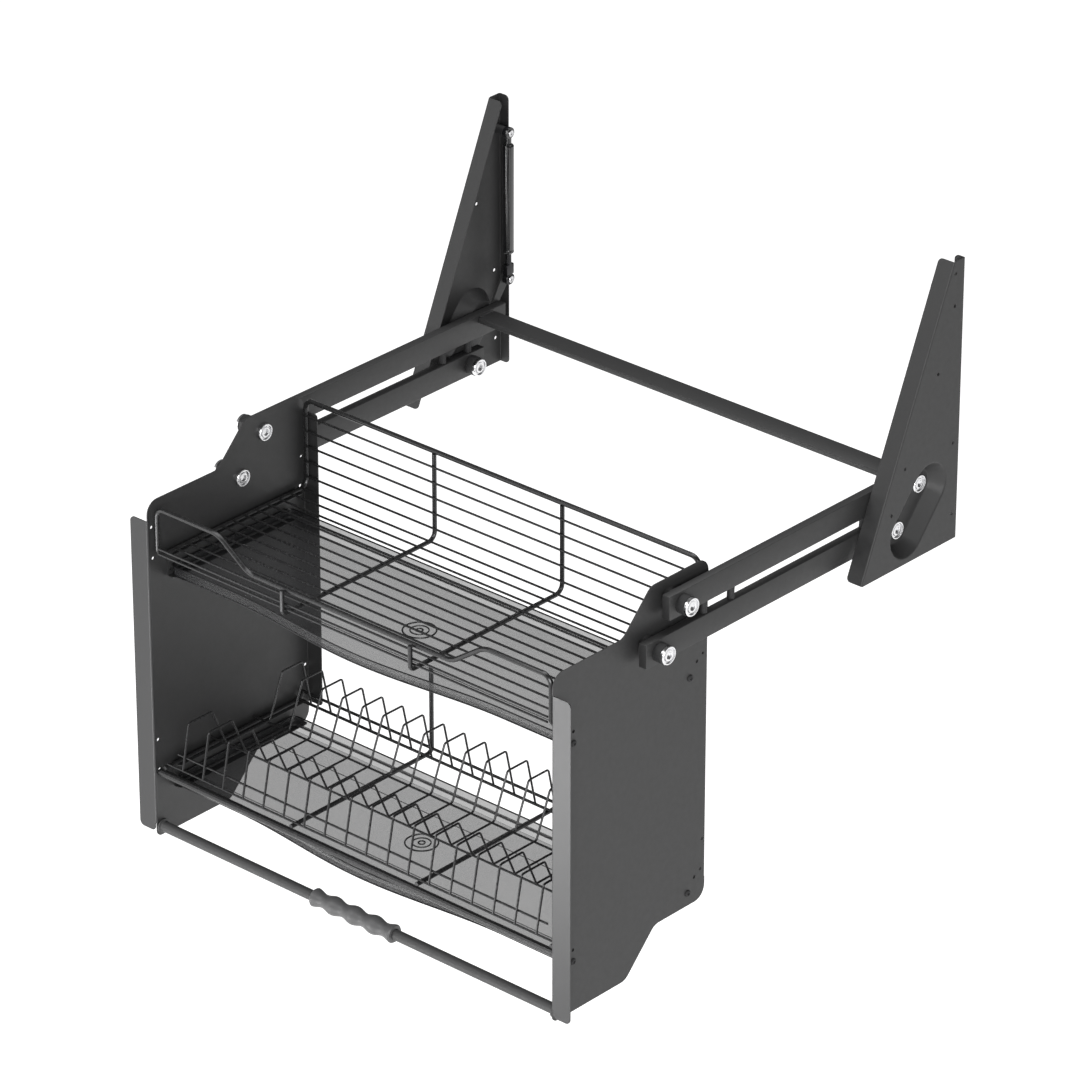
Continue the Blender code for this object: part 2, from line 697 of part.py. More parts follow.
def build_strut(word, side):
    """Build the two halves of a gas strut and the pin that hangs it in the housing."""
    top, length, turn = strut_frame(side)
    guide = STRUT_BORE_RADIUS + FIT
    bore_top = STRUT_TUBE_START + STRUT_RADIUS
    shoulder = STRUT_RADIUS - STRUT_NECK_RADIUS
    tube_profile = [
        (0, -STRUT_EYE_RADIUS / 2),
        (STRUT_NECK_RADIUS, -STRUT_EYE_RADIUS / 2),
        (STRUT_NECK_RADIUS, -STRUT_TUBE_START),
        (STRUT_RADIUS - shoulder / 2, -STRUT_TUBE_START),
        (STRUT_RADIUS, -STRUT_TUBE_START - shoulder / 2),
        (STRUT_RADIUS, -STRUT_TUBE_END + shoulder / 2),
        (STRUT_RADIUS - shoulder / 2, -STRUT_TUBE_END),
        (guide, -STRUT_TUBE_END),
        (guide, -bore_top),
        (0, -bore_top),
    ]
    tube = turned("strut_tube_" + word, tube_profile, "black_gloss", top, turn)
    combine(tube, eye_drum("tube_eye_" + word, side, 0, STRUT_EYE_RADIUS, STRUT_EYE_WIDTH), "UNION")
    pin_hole = eye_drum("tube_eye_hole_" + word, side, 0, STRUT_PIN_RADIUS + RUNNING_FIT,
                        STRUT_EYE_WIDTH + OVERRUN)
    combine(tube, pin_hole, "DIFFERENCE")

    rod_top = STRUT_TUBE_END - STRUT_ROD_INSIDE
    fork_top = length - FORK_LENGTH + STRUT_EYE_RADIUS
    rod_profile = [
        (0, -rod_top),
        (STRUT_ROD_RADIUS, -rod_top),
        (STRUT_ROD_RADIUS, -fork_top - STRUT_ROD_RADIUS),
        (0, -fork_top - STRUT_ROD_RADIUS),
    ]
    rod = turned("strut_rod_" + word, rod_profile, "black_gloss", top, turn)
    eye = STRUT_EYE_WIDTH / 2
    fork = block("rod_fork_" + word, (-eye, -FORK_WIDTH / 2, -length - STRUT_EYE_RADIUS),
                 (eye, FORK_WIDTH / 2, -fork_top), "black_gloss")
    fork.location = top
    fork.rotation_euler = turn
    combine(rod, fork, "UNION")
    screw_hole = eye_drum("rod_eye_hole_" + word, side, length, STRUT_PIN_RADIUS + RUNNING_FIT,
                          STRUT_EYE_WIDTH + OVERRUN)
    combine(rod, screw_hole, "DIFFERENCE")

    wall = HOUSING_HALF_WIDTH - SHEET - FIT
    eye_outer = STRUT_X + eye
    seat = STRUT_X - eye - FIT
    shoulder_radius = STRUT_SHOULDER_RADIUS
    pin_profile = [(0, wall), (shoulder_radius, wall), (shoulder_radius, eye_outer + FIT)]
    turned("strut_upper_pin_" + word, pin_profile + screw_profile(eye_outer + FIT, seat),
           "bright_steel", (0, STRUT_TOP_Y, STRUT_TOP_Z), facing_out(side))
    turned("strut_lower_screw_" + word, [(0, eye_outer)] + screw_profile(eye_outer, seat),
           "bright_steel", (0, LEVER_PIN_Y, LEVER_PIN_Z), facing_out(side))


def panel_outline():
    """Return the outline of a side panel's sheet as rounded (y, z) points, and its fold ends."""
    half = SHEET / 2
    front = PANEL_FRONT_Y + half
    rear = PANEL_REAR_Y - half
    top = [(front, PANEL_FRONT_TOP_Z), (FRONT_PIVOT_Y - PANEL_RAMP_BOTTOM, PANEL_FRONT_TOP_Z),
           (FRONT_PIVOT_Y - PANEL_RAMP_TOP, PANEL_REAR_TOP_Z), (rear, PANEL_REAR_TOP_Z)]
    bottom = [(rear, PANEL_STEP_Z), (FRONT_PIVOT_Y - PANEL_STEP, PANEL_STEP_Z),
              (FRONT_PIVOT_Y - PANEL_NOTCH, PANEL_BOTTOM_Z), (front, PANEL_BOTTOM_Z)]
    loop = top + bottom
    flat = [(y, z, 0) for y, z in loop]
    radii = [PANEL_CORNER] * (len(loop) - 1) + [PANEL_FOOT_CORNER]
    corner = rounded(flat, radii, closed=True)
    return [(point.x, point.y) for point in corner]


def build_panel(word, side):
    """Build one side panel: web, outward front strip, inward rear flange and pivot bosses."""
    half = SHEET / 2
    web_x = PANEL_OUTER_X - half
    outline = panel_outline()
    web = flat_plate("side_panel_" + word, outline, SHEET, "coated_steel",
                     (side * web_x, 0, 0), UPRIGHT)
    front = PANEL_FRONT_Y
    middle_z = (STRIP_TOP_Z + STRIP_BOTTOM_Z) / 2
    half_z = (STRIP_TOP_Z - STRIP_BOTTOM_Z) / 2
    strip_in = web_x
    strip_out = PANEL_OUTER_X + STRIP_WIDTH
    width = strip_out - strip_in
    corners = [(-width / 2, -half_z, 0), (width / 2, -half_z, 0),
               (width / 2, half_z, 0), (-width / 2, half_z, 0)]
    radii = [STRIP_FOOT_CORNER] + [STRIP_CORNER] * (len(corners) - 1)
    curved = rounded(corners, radii, closed=True)
    strip_shape = curved[:-BEND_STEPS - 1] + [corners[-1]]
    facing = (math.pi / 2, 0, 0) if side > 0 else (math.pi / 2, 0, math.pi)
    strip = flat_plate("front_strip_" + word, strip_shape, SHEET, "coated_strip",
                       (side * (strip_in + width / 2), front + half, middle_z), facing)
    combine(web, strip, "UNION")
    flange = side_block(
        "rear_flange_" + word, side, PANEL_OUTER_X - PANEL_FLANGE, web_x,
        (PANEL_REAR_Y - SHEET, FLANGE_BOTTOM_Z), (PANEL_REAR_Y, FLANGE_TOP_Z), "coated_steel")
    combine(web, flange, "UNION")
    boss_depth = ARM_INNER_X - FIT - PANEL_OUTER_X
    bosses = hole_cutter("pivot_bosses_" + word, side, FRONT_PIVOTS.values(), SLEEVE_RADIUS,
                         web_x, PANEL_OUTER_X + boss_depth)
    combine(web, bosses, "UNION")
    bores = hole_cutter("pivot_bores_" + word, side, FRONT_PIVOTS.values(), BOLT_RADIUS + RUNNING_FIT,
                        PANEL_INNER_X - OVERRUN, PANEL_OUTER_X + boss_depth + OVERRUN)
    combine(web, bores, "DIFFERENCE")
    small = hole_cutter("panel_holes_" + word, side, panel_hole_places(), SCREW_HOLE_RADIUS,
                        PANEL_INNER_X - OVERRUN, PANEL_OUTER_X + OVERRUN, SMALL_HOLE_STEPS)
    combine(web, small, "DIFFERENCE")
    return web


def bracket_screws():
    """Return the bracket screws of a side panel as (y, rise over a basket floor)."""
    front_y, front_rise = BRACKET_FRONT_SCREW
    rear_y, rear_rise = BRACKET_REAR_SCREW
    return [(PANEL_FRONT_Y + front_y, front_rise), (PANEL_REAR_Y - rear_y, rear_rise)]


def panel_hole_places():
    """Return the holes of a side panel as (y, z), the same set round each basket floor."""
    places = bracket_screws()
    places += [(PANEL_FRONT_Y + inset, rise) for inset, rise in PANEL_FRONT_HOLES]
    places += [(PANEL_REAR_Y - inset, rise) for inset, rise in PANEL_REAR_HOLES]
    return [(y, floor_z + rise) for floor_z in LEVELS.values() for y, rise in places]


def build_panel_pivot(word, side, level):
    """Build the bolt, sleeve and nut that hang a side panel on the front end of an arm."""
    y, z = FRONT_PIVOTS[level]
    build_sleeve(f"{level}_pivot_sleeve_{word}", side, y, z, ARM_OUTER_X)
    seat = ARM_OUTER_X + SLEEVE_LENGTH + FIT
    tip = PANEL_INNER_X - BOLT_HEAD / 2
    profile = head_profile(BOLT_HEAD_RADIUS, seat + BOLT_HEAD, seat) + [
        (BOLT_RADIUS, seat), (BOLT_RADIUS, tip), (0, tip)]
    turned(f"{level}_pivot_bolt_{word}", profile, "bright_steel", (0, y, z), facing_out(side))
    face = PANEL_INNER_X - FIT
    bore = BOLT_RADIUS + RUNNING_FIT
    cap = tip - FIT
    end = face - BOLT_HEAD
    nut = [
        (0, cap), (bore, cap), (bore, face), (NUT_RADIUS, face),
        (NUT_RADIUS, end + BOLT_HEAD_DOME), (NUT_RADIUS - BOLT_HEAD_DOME, end), (0, end)]
    turned(f"{level}_pivot_nut_{word}", nut, "bright_steel", (0, y, z), facing_out(side))


def build_handle():
    """Build the pull bar with its end collars, and the contoured grip round its middle."""
    end = PANEL_INNER_X - FIT
    neck = end - COLLAR_LENGTH
    profile = [
        (0, end), (COLLAR_RADIUS, end), (COLLAR_RADIUS, neck), (HANDLE_RADIUS, neck),
        (HANDLE_RADIUS, -neck), (COLLAR_RADIUS, -neck), (COLLAR_RADIUS, -end), (0, -end)]
    spot = (0, HANDLE_Y, HANDLE_Z)
    turned("handle_bar", profile, "coated_steel", spot, facing_out(1), GRIP_STEPS)
    bore = HANDLE_RADIUS + FIT
    half = GRIP_LENGTH / 2
    middle_radius = (GRIP_RADIUS + GRIP_WAIST) / 2
    swing = (GRIP_RADIUS - GRIP_WAIST) / 2
    samples = GRIP_BULGES * 4
    outer = []
    for step in range(samples + 1):
        share = step / samples
        radius = middle_radius + swing * math.cos(math.tau * GRIP_BULGES * share)
        outer.append((radius, half - GRIP_LENGTH * share))
    turned("handle_grip", outer + [(bore, -half), (bore, half)], "grey_grip", spot, facing_out(1),
           GRIP_STEPS, closed=True)


def build_upper_basket():
    """Build the upper basket: its rim rod, and the welded grid of wires and support rods."""
    floor = UPPER_FLOOR_Z
    front = BASKET_FRONT_Y
    back = BASKET_BACK_Y
    high = floor + BASKET_RAIL_HEIGHT
    dip = high - RAIL_DIP
    top = floor + BASKET_BACK_HEIGHT
    rail_low_x = SIDE_ROD_X - RAIL_LOW_INSET
    rail_high_x = SIDE_ROD_X - RAIL_HIGH_INSET
    half_rim = [
        (rail_low_x, front, dip), (rail_high_x, front, high), (SIDE_ROD_X, front, high),
        (SIDE_ROD_X, front, floor), (SIDE_ROD_X, back, floor), (SIDE_ROD_X, back, top)]
    mirrored = [(-x, y, z) for x, y, z in reversed(half_rim)]
    wires("upper_basket_rim", [rounded(half_rim + mirrored, RIM_BEND, closed=True)], RIM_ROD,
          "black_wire", closed=True, fineness=2)

    end_x = SIDE_ROD_X - RIM_ROD - FIT
    hook_y = front - RIM_ROD - FRAME_ROD - FIT
    support = []
    for x in (-SUPPORT_X, SUPPORT_X):
        path = [(x, back, top - RIM_ROD - FIT), (x, back, floor), (x, hook_y, floor),
                (x, hook_y, floor + HOOK_HEIGHT)]
        tall = rounded(path[:3], SUPPORT_BEND)
        hook = rounded(path[1:], HOOK_BEND)
        support.append(tall[:-1] + hook[1:])
    grid = wires("upper_basket_grid", support, FRAME_ROD, "black_wire", fineness=2)

    thin = []
    weld_reach = FRAME_ROD + THIN_WIRE - WELD
    for index in range(BACK_WIRES):
        thin.append((back - weld_reach, floor + BACK_WIRE_LIFT + index * BACK_WIRE_PITCH))
    for index in range(FLOOR_WIRES):
        y = back - FLOOR_WIRE_SETBACK - index * FLOOR_WIRE_PITCH
        thin.append((y, floor + weld_reach))
    for index in range(FRONT_WIRES):
        thin.append((hook_y + weld_reach, floor + HOOK_BEND + index * FRONT_WIRE_PITCH))
    paths = [[(-end_x, y, z), (end_x, y, z)] for y, z in thin]
    combine(grid, wires("upper_basket_wires", paths, THIN_WIRE, "black_wire"), "UNION")


def loop_outline():
    """Return one plate loop's corners as (y, z) from its front foot to its rear foot."""
    ground = LOWER_FLOOR_Z + FRAME_ROD + FIT + THIN_WIRE
    steps = [
        (LOOP_FRONT_LEAN, LOOP_FRONT_HEIGHT), (LOOP_FRONT_TOP, 0),
        (LOOP_FRONT_FALL, LOOP_VALLEY_LIFT - LOOP_FRONT_HEIGHT), (LOOP_VALLEY, 0),
        (LOOP_REAR_RISE, LOOP_REAR_HEIGHT - LOOP_VALLEY_LIFT), (LOOP_REAR_TOP, 0),
        (LOOP_REAR_FALL, -LOOP_REAR_HEIGHT)]
    corners = [(LOOP_FRONT_Y, ground)]
    for run, rise in steps:
        y, z = corners[-1]
        corners.append((y + run, z + rise))
    return corners


def build_plate_rack():
    """Build the plate rack: the row of plate loops welded to its lengthwise wires."""
    outline = loop_outline()
    first = -LOOP_PITCH * (LOOPS - 1) / 2
    loops = []
    for index in range(LOOPS):
        x = first + index * LOOP_PITCH
        loops.append(rounded([(x, y, z) for y, z in outline], LOOP_BEND, steps=1))
    rack = wires("plate_rack", loops, LOOP_WIRE, "black_wire")
    end_x = SIDE_ROD_X
    front_foot, front_top, _, valley_front, valley_rear, _, _, rear_foot = outline
    under = LOOP_WIRE + THIN_WIRE - WELD
    lean = (front_top[0] - front_foot[0]) / (front_top[1] - front_foot[1])
    behind = under * math.hypot(1, lean)
    stay_z = front_foot[1] + STAY_HEIGHT
    stay_end = -first + RIM_BEND
    thin = [
        ((front_foot[0], front_foot[1]), end_x),
        ((front_foot[0] + lean * STAY_HEIGHT + behind, stay_z), stay_end),
        ((valley_front[0] + THIN_WIRE, valley_front[1] - under), end_x),
        ((valley_rear[0] - THIN_WIRE, valley_rear[1] - under), end_x),
    ]
    paths = [[(-reach, y, z), (reach, y, z)] for (y, z), reach in thin]
    combine(rack, wires("plate_rack_wires", paths, THIN_WIRE, "black_wire"), "UNION")
    rail_z = LOWER_FLOOR_Z + FRAME_ROD + FIT + RAIL_ROD
    rail = wires("plate_rack_rail", [[(-end_x, rear_foot[0], rail_z), (end_x, rear_foot[0], rail_z)]],
                 RAIL_ROD, "black_wire")
    combine(rack, rail, "UNION")


def build_lower_frame():
    """Build the lower basket's frame: front bar, rear rail, side rods and two support rods."""
    floor = LOWER_FLOOR_Z
    bar_z = floor - FRONT_BAR_DROP
    end_x = PANEL_INNER_X - FIT
    bar = wires("lower_basket_frame", [[(-end_x, BASKET_FRONT_Y, bar_z), (end_x, BASKET_FRONT_Y, bar_z)]],
                BAR_ROD, "black_wire", fineness=2)
    upright_y = BASKET_BACK_Y - FRAME_ROD - SUPPORT_BEND / 2
    upright_top = floor + BASKET_BACK_HEIGHT
    rail_y = upright_y - FRAME_ROD - RAIL_ROD + WELD
    rods = []
    for x in (-SUPPORT_X, SUPPORT_X):
        path = [(x, upright_y, upright_top), (x, upright_y, floor), (x, BASKET_FRONT_Y, floor)]
        rods.append(rounded(path, SUPPORT_BEND / 2))
    for x in (-SIDE_ROD_X, SIDE_ROD_X):
        rods.append([(x, rail_y, floor + REAR_RAIL_LIFT), (x, rail_y - REAR_RAIL_LIFT, floor),
                     (x, BASKET_FRONT_Y, floor)])
    combine(bar, wires("lower_basket_rods", rods, FRAME_ROD, "black_wire"), "UNION")
    rail_z = floor + REAR_RAIL_LIFT
    rail = wires("lower_basket_rail", [[(-end_x, rail_y, rail_z), (end_x, rail_y, rail_z)]],
                 RAIL_ROD, "black_wire")
    combine(bar, rail, "UNION")


def tray_outline(inset):
    """Return a drip tray's outline, drawn in by an inset, with its front edge bowed forward."""
    half = PANEL_INNER_X - BRACKET_SHEET - TRAY_SIDE_GAP - inset
    rear = TRAY_REAR_Y - inset
    front = TRAY_FRONT_Y + inset
    corner = TRAY_CORNER - inset
    box = [(-half, front, 0), (half, front, 0), (half, rear, 0), (-half, rear, 0)]
    arcs = [(point.x, point.y) for point in rounded(box, corner, closed=True)]
    keep = BEND_STEPS + 1
    bow_points = 16
    bulge_half = SIDE_ROD_X - TRAY_BULGE_INSET
    bow = []
    for step in range(1, bow_points):
        share = step / bow_points
        x = bulge_half * (2 * share - 1)
        bow.append((x, front - TRAY_BULGE * (1 - math.cos(math.tau * share)) / 2))
    return arcs[:keep] + bow + arcs[keep:]


def build_tray(level, floor_z):
    """Build one drip tray: a shallow pan with a bowed front and a raised drain boss."""
    under = floor_z - TRAY_DROP
    top = under + TRAY_WALL
    name = f"{level}_drip_tray"
    pan = flat_plate(name, tray_outline(0), TRAY_WALL, "grey_tray", (0, 0, (under + top) / 2))
    inside_low = under + TRAY_SHEET
    inside_high = top + OVERRUN
    hollow = flat_plate(name + "_hollow", tray_outline(TRAY_SHEET), inside_high - inside_low,
                        "grey_tray", (0, 0, (inside_low + inside_high) / 2))
    combine(pan, hollow, "DIFFERENCE")
    base = TRAY_SHEET / 2
    boss = [
        (0, TRAY_SHEET + 3 * DRAIN_STEP), (DRAIN_HUB_RADIUS, TRAY_SHEET + 3 * DRAIN_STEP),
        (DRAIN_HUB_RADIUS, TRAY_SHEET + DRAIN_STEP),
        (DRAIN_RING_RADIUS - DRAIN_STEP, TRAY_SHEET + DRAIN_STEP),
        (DRAIN_RING_RADIUS, TRAY_SHEET + 2 * DRAIN_STEP),
        (DRAIN_RING_RADIUS + DRAIN_STEP, TRAY_SHEET + DRAIN_STEP),
        (DRAIN_RADIUS - 2 * DRAIN_STEP, TRAY_SHEET + DRAIN_STEP),
        (DRAIN_RADIUS - DRAIN_STEP, TRAY_SHEET + 2 * DRAIN_STEP),
        (DRAIN_RADIUS, TRAY_SHEET + DRAIN_STEP), (DRAIN_RADIUS, base), (0, base)]
    drain = turned(name + "_drain", boss, "grey_tray", (0, DRAIN_Y, under), (0, 0, 0))
    combine(pan, drain, "UNION")


def build_bracket(level, floor_z, word, side):
    """Build the channel screwed inside a panel, with a basket on top and a tray in it."""
    top = floor_z - RIM_ROD - FIT
    ledge_top = floor_z - TRAY_DROP - FIT
    outer = PANEL_INNER_X - FIT
    inner = outer - BRACKET_SHEET
    tip = outer - BRACKET_LEDGE
    name = f"{level}_bracket_{word}"
    bm = bmesh.new()
    half = BRACKET_SHEET / 2
    mid_x = side * (outer - half)
    tip_x = side * tip
    section = [(tip_x, top - half), (mid_x, top - half), (mid_x, ledge_top - half),
               (tip_x, ledge_top - half)]
    corners = [bm.verts.new((x, BRACKET_REAR_Y, z)) for x, z in section]
    edges = [bm.edges.new(pair) for pair in zip(corners, corners[1:])]
    grown = bmesh.ops.extrude_edge_only(bm, edges=edges)["geom"]
    moved = [item for item in grown if isinstance(item, bmesh.types.BMVert)]
    bmesh.ops.translate(bm, vec=(0, BRACKET_FRONT_Y - BRACKET_REAR_Y, 0), verts=moved)
    bracket = place(name, mesh_from(bm, name), "coated_steel")
    wall = bracket.modifiers.new("sheet", "SOLIDIFY")
    wall.thickness = BRACKET_SHEET
    wall.offset = 0
    wall.use_even_offset = True
    places = [(y, floor_z + rise) for y, rise in bracket_screws()]
    holes = hole_cutter(name + "_holes", side, places, SCREW_HOLE_RADIUS,
                        inner - OVERRUN, outer + OVERRUN, SMALL_HOLE_STEPS)
    return combine(bracket, holes, "DIFFERENCE")


clear_scene()
PARTS = new_collection("pull_down_dish_rack")
TOOLS = new_collection("shaping_tools")

for side_word, side_sign in SIDES.items():
    build_housing(side_word, side_sign)
    build_lever(side_word, side_sign)
    build_strut(side_word, side_sign)
    build_buffers(side_word, side_sign)
    build_panel(side_word, side_sign)
    for level_word in REAR_PIVOTS:
        build_housing_pin(side_word, side_sign, level_word)
        build_arm(side_word, side_sign, level_word)
        build_panel_pivot(side_word, side_sign, level_word)
    build_sleeve("rear_pivot_sleeve_" + side_word, side_sign, LOWER_PIVOT_Y, LOWER_PIVOT_Z,
                 ARM_INNER_X - SLEEVE_LENGTH)
    for level_word, level_z in LEVELS.items():
        build_bracket(level_word, level_z, side_word, side_sign)

build_cross_bar()
build_handle()
build_upper_basket()
build_plate_rack()
build_lower_frame()
for level_word, level_z in LEVELS.items():
    build_tray(level_word, level_z)
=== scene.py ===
"""Dressed scene of a pull down dish rack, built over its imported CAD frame.

Lengths are in metres in the frame of the CAD: +X to the right, -Y towards the user, +Z up.
"""
from __future__ import annotations

import json
import logging
import math
from dataclasses import dataclass
from enum import Enum
from functools import cache, cached_property
from typing import Iterable, Sequence

import bmesh
import bpy
from mathutils import Matrix, Vector

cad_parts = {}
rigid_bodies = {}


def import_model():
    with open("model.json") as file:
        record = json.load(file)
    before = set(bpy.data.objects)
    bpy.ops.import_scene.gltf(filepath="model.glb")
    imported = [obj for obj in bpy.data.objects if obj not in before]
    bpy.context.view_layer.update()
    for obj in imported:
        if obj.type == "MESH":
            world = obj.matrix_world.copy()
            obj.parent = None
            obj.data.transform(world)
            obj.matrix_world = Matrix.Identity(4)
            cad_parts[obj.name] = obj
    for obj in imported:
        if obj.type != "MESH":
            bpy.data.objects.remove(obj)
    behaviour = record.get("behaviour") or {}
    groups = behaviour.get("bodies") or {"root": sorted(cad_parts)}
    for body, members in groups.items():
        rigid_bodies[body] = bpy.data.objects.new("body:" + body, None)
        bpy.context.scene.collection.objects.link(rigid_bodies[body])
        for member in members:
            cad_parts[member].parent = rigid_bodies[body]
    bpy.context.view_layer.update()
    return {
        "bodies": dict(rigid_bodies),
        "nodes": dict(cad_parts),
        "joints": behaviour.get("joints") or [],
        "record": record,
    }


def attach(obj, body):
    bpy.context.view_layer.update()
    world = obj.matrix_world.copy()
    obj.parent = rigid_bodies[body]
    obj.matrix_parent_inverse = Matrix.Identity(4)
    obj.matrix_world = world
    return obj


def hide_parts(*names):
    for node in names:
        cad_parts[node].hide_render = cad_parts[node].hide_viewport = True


LOG = logging.getLogger("dish_rack")

Point = Sequence[float]
Path = list[Vector]


class Body(str, Enum):
    """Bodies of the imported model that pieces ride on."""

    WALL = "wall_mounts"
    ARMS = "upper_arms"
    LOWER_ARM_LEFT = "lower_arm_l"
    LOWER_ARM_RIGHT = "lower_arm_r"
    STRUT_TUBE_LEFT = "strut_tube_l"
    STRUT_TUBE_RIGHT = "strut_tube_r"
    STRUT_ROD_LEFT = "strut_rod_l"
    STRUT_ROD_RIGHT = "strut_rod_r"
    CARRIAGE = "carriage"
    UPPER_TRAY = "upper_tray"
    LOWER_TRAY = "lower_tray"


class Named(Enum):
    """A choice whose name is part of the names of pieces and nodes."""

    @property
    def word(self) -> str:
        """Return the name in small letters."""
        return self.name.lower()


class Side(Named):
    """The two mirrored halves of the rack."""

    LEFT = -1
    RIGHT = 1


class Level(Named):
    """The two basket floors, by the height of the rods that carry them."""

    UPPER = -0.009
    LOWER = -0.3075


class Arm(Named):
    """The two bars of each side's linkage, by the place of their rear pivots."""

    UPPER = (-0.057, 0.089)
    LOWER = (-0.0985, 0.0405)

    @property
    def front(self) -> tuple[float, float]:
        """Return the place of the front pivot."""
        return self.value[0] - ARM_LENGTH, self.value[1]


# Shader graphs


@dataclass(frozen=True)
class Signal:
    """A number that varies over a surface, with ordinary arithmetic."""

    graph: Graph
    socket: bpy.types.NodeSocket

    def __add__(self, other: Signal | float) -> Signal:
        """Return this signal plus another or a number."""
        return self.graph.maths("ADD", self, other)

    def __radd__(self, other: float) -> Signal:
        """Return a number plus this signal."""
        return self.graph.maths("ADD", other, self)

    def __sub__(self, other: Signal | float) -> Signal:
        """Return this signal less another or a number."""
        return self.graph.maths("SUBTRACT", self, other)

    def __rsub__(self, other: float) -> Signal:
        """Return a number less this signal."""
        return self.graph.maths("SUBTRACT", other, self)

    def __mul__(self, other: Signal | float) -> Signal:
        """Return this signal times another or a number."""
        return self.graph.maths("MULTIPLY", self, other)

    def __rmul__(self, other: float) -> Signal:
        """Return a number times this signal."""
        return self.graph.maths("MULTIPLY", other, self)


class Graph:
    """The node tree of a material or a world, as Blender starts it."""

    def __init__(self, owner: bpy.types.Material | bpy.types.World, shader: str) -> None:
        """Switch the owner's nodes on.

        Args:
            owner: Material or world that the tree belongs to.
            shader: Name of the shader node that it starts with.
        """
        owner.use_nodes = True
        self.tree = owner.node_tree
        self.shader = self.tree.nodes[shader]

    def node(self, kind: str, inputs: dict[str | int, object],
             **settings: object) -> bpy.types.Node:
        """Add a node, set its options and fill its inputs.

        Args:
            kind: Blender's name for the node type.
            inputs: Socket name or number to a signal, a socket or a constant.
            **settings: Attributes of the node.

        Returns:
            The new node.
        """
        made = self.tree.nodes.new(kind)
        for key, value in settings.items():
            setattr(made, key, value)
        for key, value in inputs.items():
            self.feed(made.inputs[key], value)
        return made

    def feed(self, socket: bpy.types.NodeSocket, value: object) -> None:
        """Fill one input.

        Args:
            socket: The input.
            value: Signal or socket to link to it, or constant to set on it.
        """
        if isinstance(value, Signal):
            value = value.socket
        if isinstance(value, bpy.types.NodeSocket):
            self.tree.links.new(value, socket)
        else:
            socket.default_value = value

    def maths(self, operation: str, first: object, second: object) -> Signal:
        """Return the result of one Math node."""
        made = self.node("ShaderNodeMath", {0: first, 1: second}, operation=operation)
        return Signal(self, made.outputs[0])

    @cached_property
    def place(self) -> bpy.types.NodeSocket:
        """Return the object's own coordinates, in metres."""
        return self.node("ShaderNodeTexCoord", {}).outputs["Object"]

    def noise(self, size: float, detail: float) -> Signal:
        """Return smooth noise from 0 to 1, in blotches of a size with octaves of detail."""
        made = self.node("ShaderNodeTexNoise", {
            "Vector": self.place, "Scale": 1 / size, "Detail": detail})
        return Signal(self, made.outputs["Fac"])

    def blend(self, share: Signal, low: Point, high: Point) -> bpy.types.NodeSocket:
        """Return the colour between two colours."""
        made = self.node("ShaderNodeMix", {0: share, 6: (*low, 1), 7: (*high, 1)}, data_type="RGBA")
        return made.outputs[2]

    def bump(self, height: Signal, depth: float) -> None:
        """Roughen the surface by a height signal, its full swing being depth metres."""
        made = self.node("ShaderNodeBump", {"Height": height, "Distance": depth})
        self.feed(self.shader.inputs["Normal"], made.outputs["Normal"])

    def rays(self, *kinds: str) -> list[Signal]:
        """Return, for each kind of ray, the signal that is 1 where such a ray looks."""
        outputs = self.node("ShaderNodeLightPath", {}).outputs
        return [Signal(self, outputs[f"Is {kind} Ray"]) for kind in kinds]

    def set(self, **values: object) -> None:
        """Fill the shader's inputs, an underscore standing for a space."""
        for key, value in values.items():
            self.feed(self.shader.inputs[key.replace("_", " ")], value)


@dataclass(frozen=True)
class Finish:
    """One finish: its colour, how it scatters light and how its surface varies."""

    name: str
    slot: str
    colour: tuple[float, float, float]
    roughness: float
    metallic: float = 0.0
    mottle: float = 0.04
    mottle_size: float = 0.03
    grain: float = 0.0
    grain_depth: float = 0.00002
    roughness_swing: float = 0.06
    coat: float = 0.0
    coat_roughness: float = 0.10
    alpha: float = 1.0

    @cache
    def material(self) -> bpy.types.Material:
        """Make the finish's material, once.

        Returns:
            The node material.
        """
        made = bpy.data.materials.new(self.name)
        graph = Graph(made, "Principled BSDF")
        low, high = [[part * (1 + swing) for part in self.colour]
                     for swing in (-self.mottle, self.mottle)]
        streak = graph.noise(self.mottle_size / 4, 4.0) - 0.5
        graph.set(Base_Color=graph.blend(graph.noise(self.mottle_size, 3.0), low, high),
                  Roughness=self.roughness + streak * (4 * self.roughness_swing),
                  Metallic=self.metallic, Coat_Weight=self.coat,
                  Coat_Roughness=self.coat_roughness, Alpha=self.alpha)
        if self.grain:
            graph.bump(graph.noise(self.grain, 2.0), self.grain_depth)
        return made


COATED = Finish("powder_coat_grey", "coated_steel", (0.038, 0.038, 0.0385), 0.50,
                grain=0.0011, roughness_swing=0.04)
# The panel's own powder coat, its colour painted lighter to stand for the light that the front
# strips reflect.
STRIP_PAINTED_LIGHT = Finish("powder_coat_front", "coated_steel", (0.052, 0.052, 0.053), 0.34, 0.30,
               grain=0.0011, roughness_swing=0.012)
BAR = Finish("satin_bar", "coated_steel", (0.064, 0.064, 0.065), 0.55, mottle=0.06, grain=0.0006)
WIRE = Finish("coated_wire", "black_wire", (0.040, 0.040, 0.041), 0.26, 0.55,
              mottle=0.10, mottle_size=0.02)
ZINC = Finish("bright_zinc", "bright_steel", (0.76, 0.76, 0.77), 0.20, 1.0, mottle=0.06,
              mottle_size=0.006, grain=0.0005, grain_depth=0.000002, roughness_swing=0.02)
GLOSS = Finish("gloss_black", "black_gloss", (0.010, 0.010, 0.011), 0.18,
               mottle=0.10, coat=0.8, roughness_swing=0.02)
CHROME_ROD = Finish("dark_chrome_rod", "black_gloss", (0.035, 0.035, 0.037), 0.20, 0.7,
                    mottle=0.05, roughness_swing=0.03)
RUBBER = Finish("matt_rubber", "black_rubber", (0.026, 0.026, 0.027), 0.66,
                mottle=0.15, mottle_size=0.008, grain=0.0004)
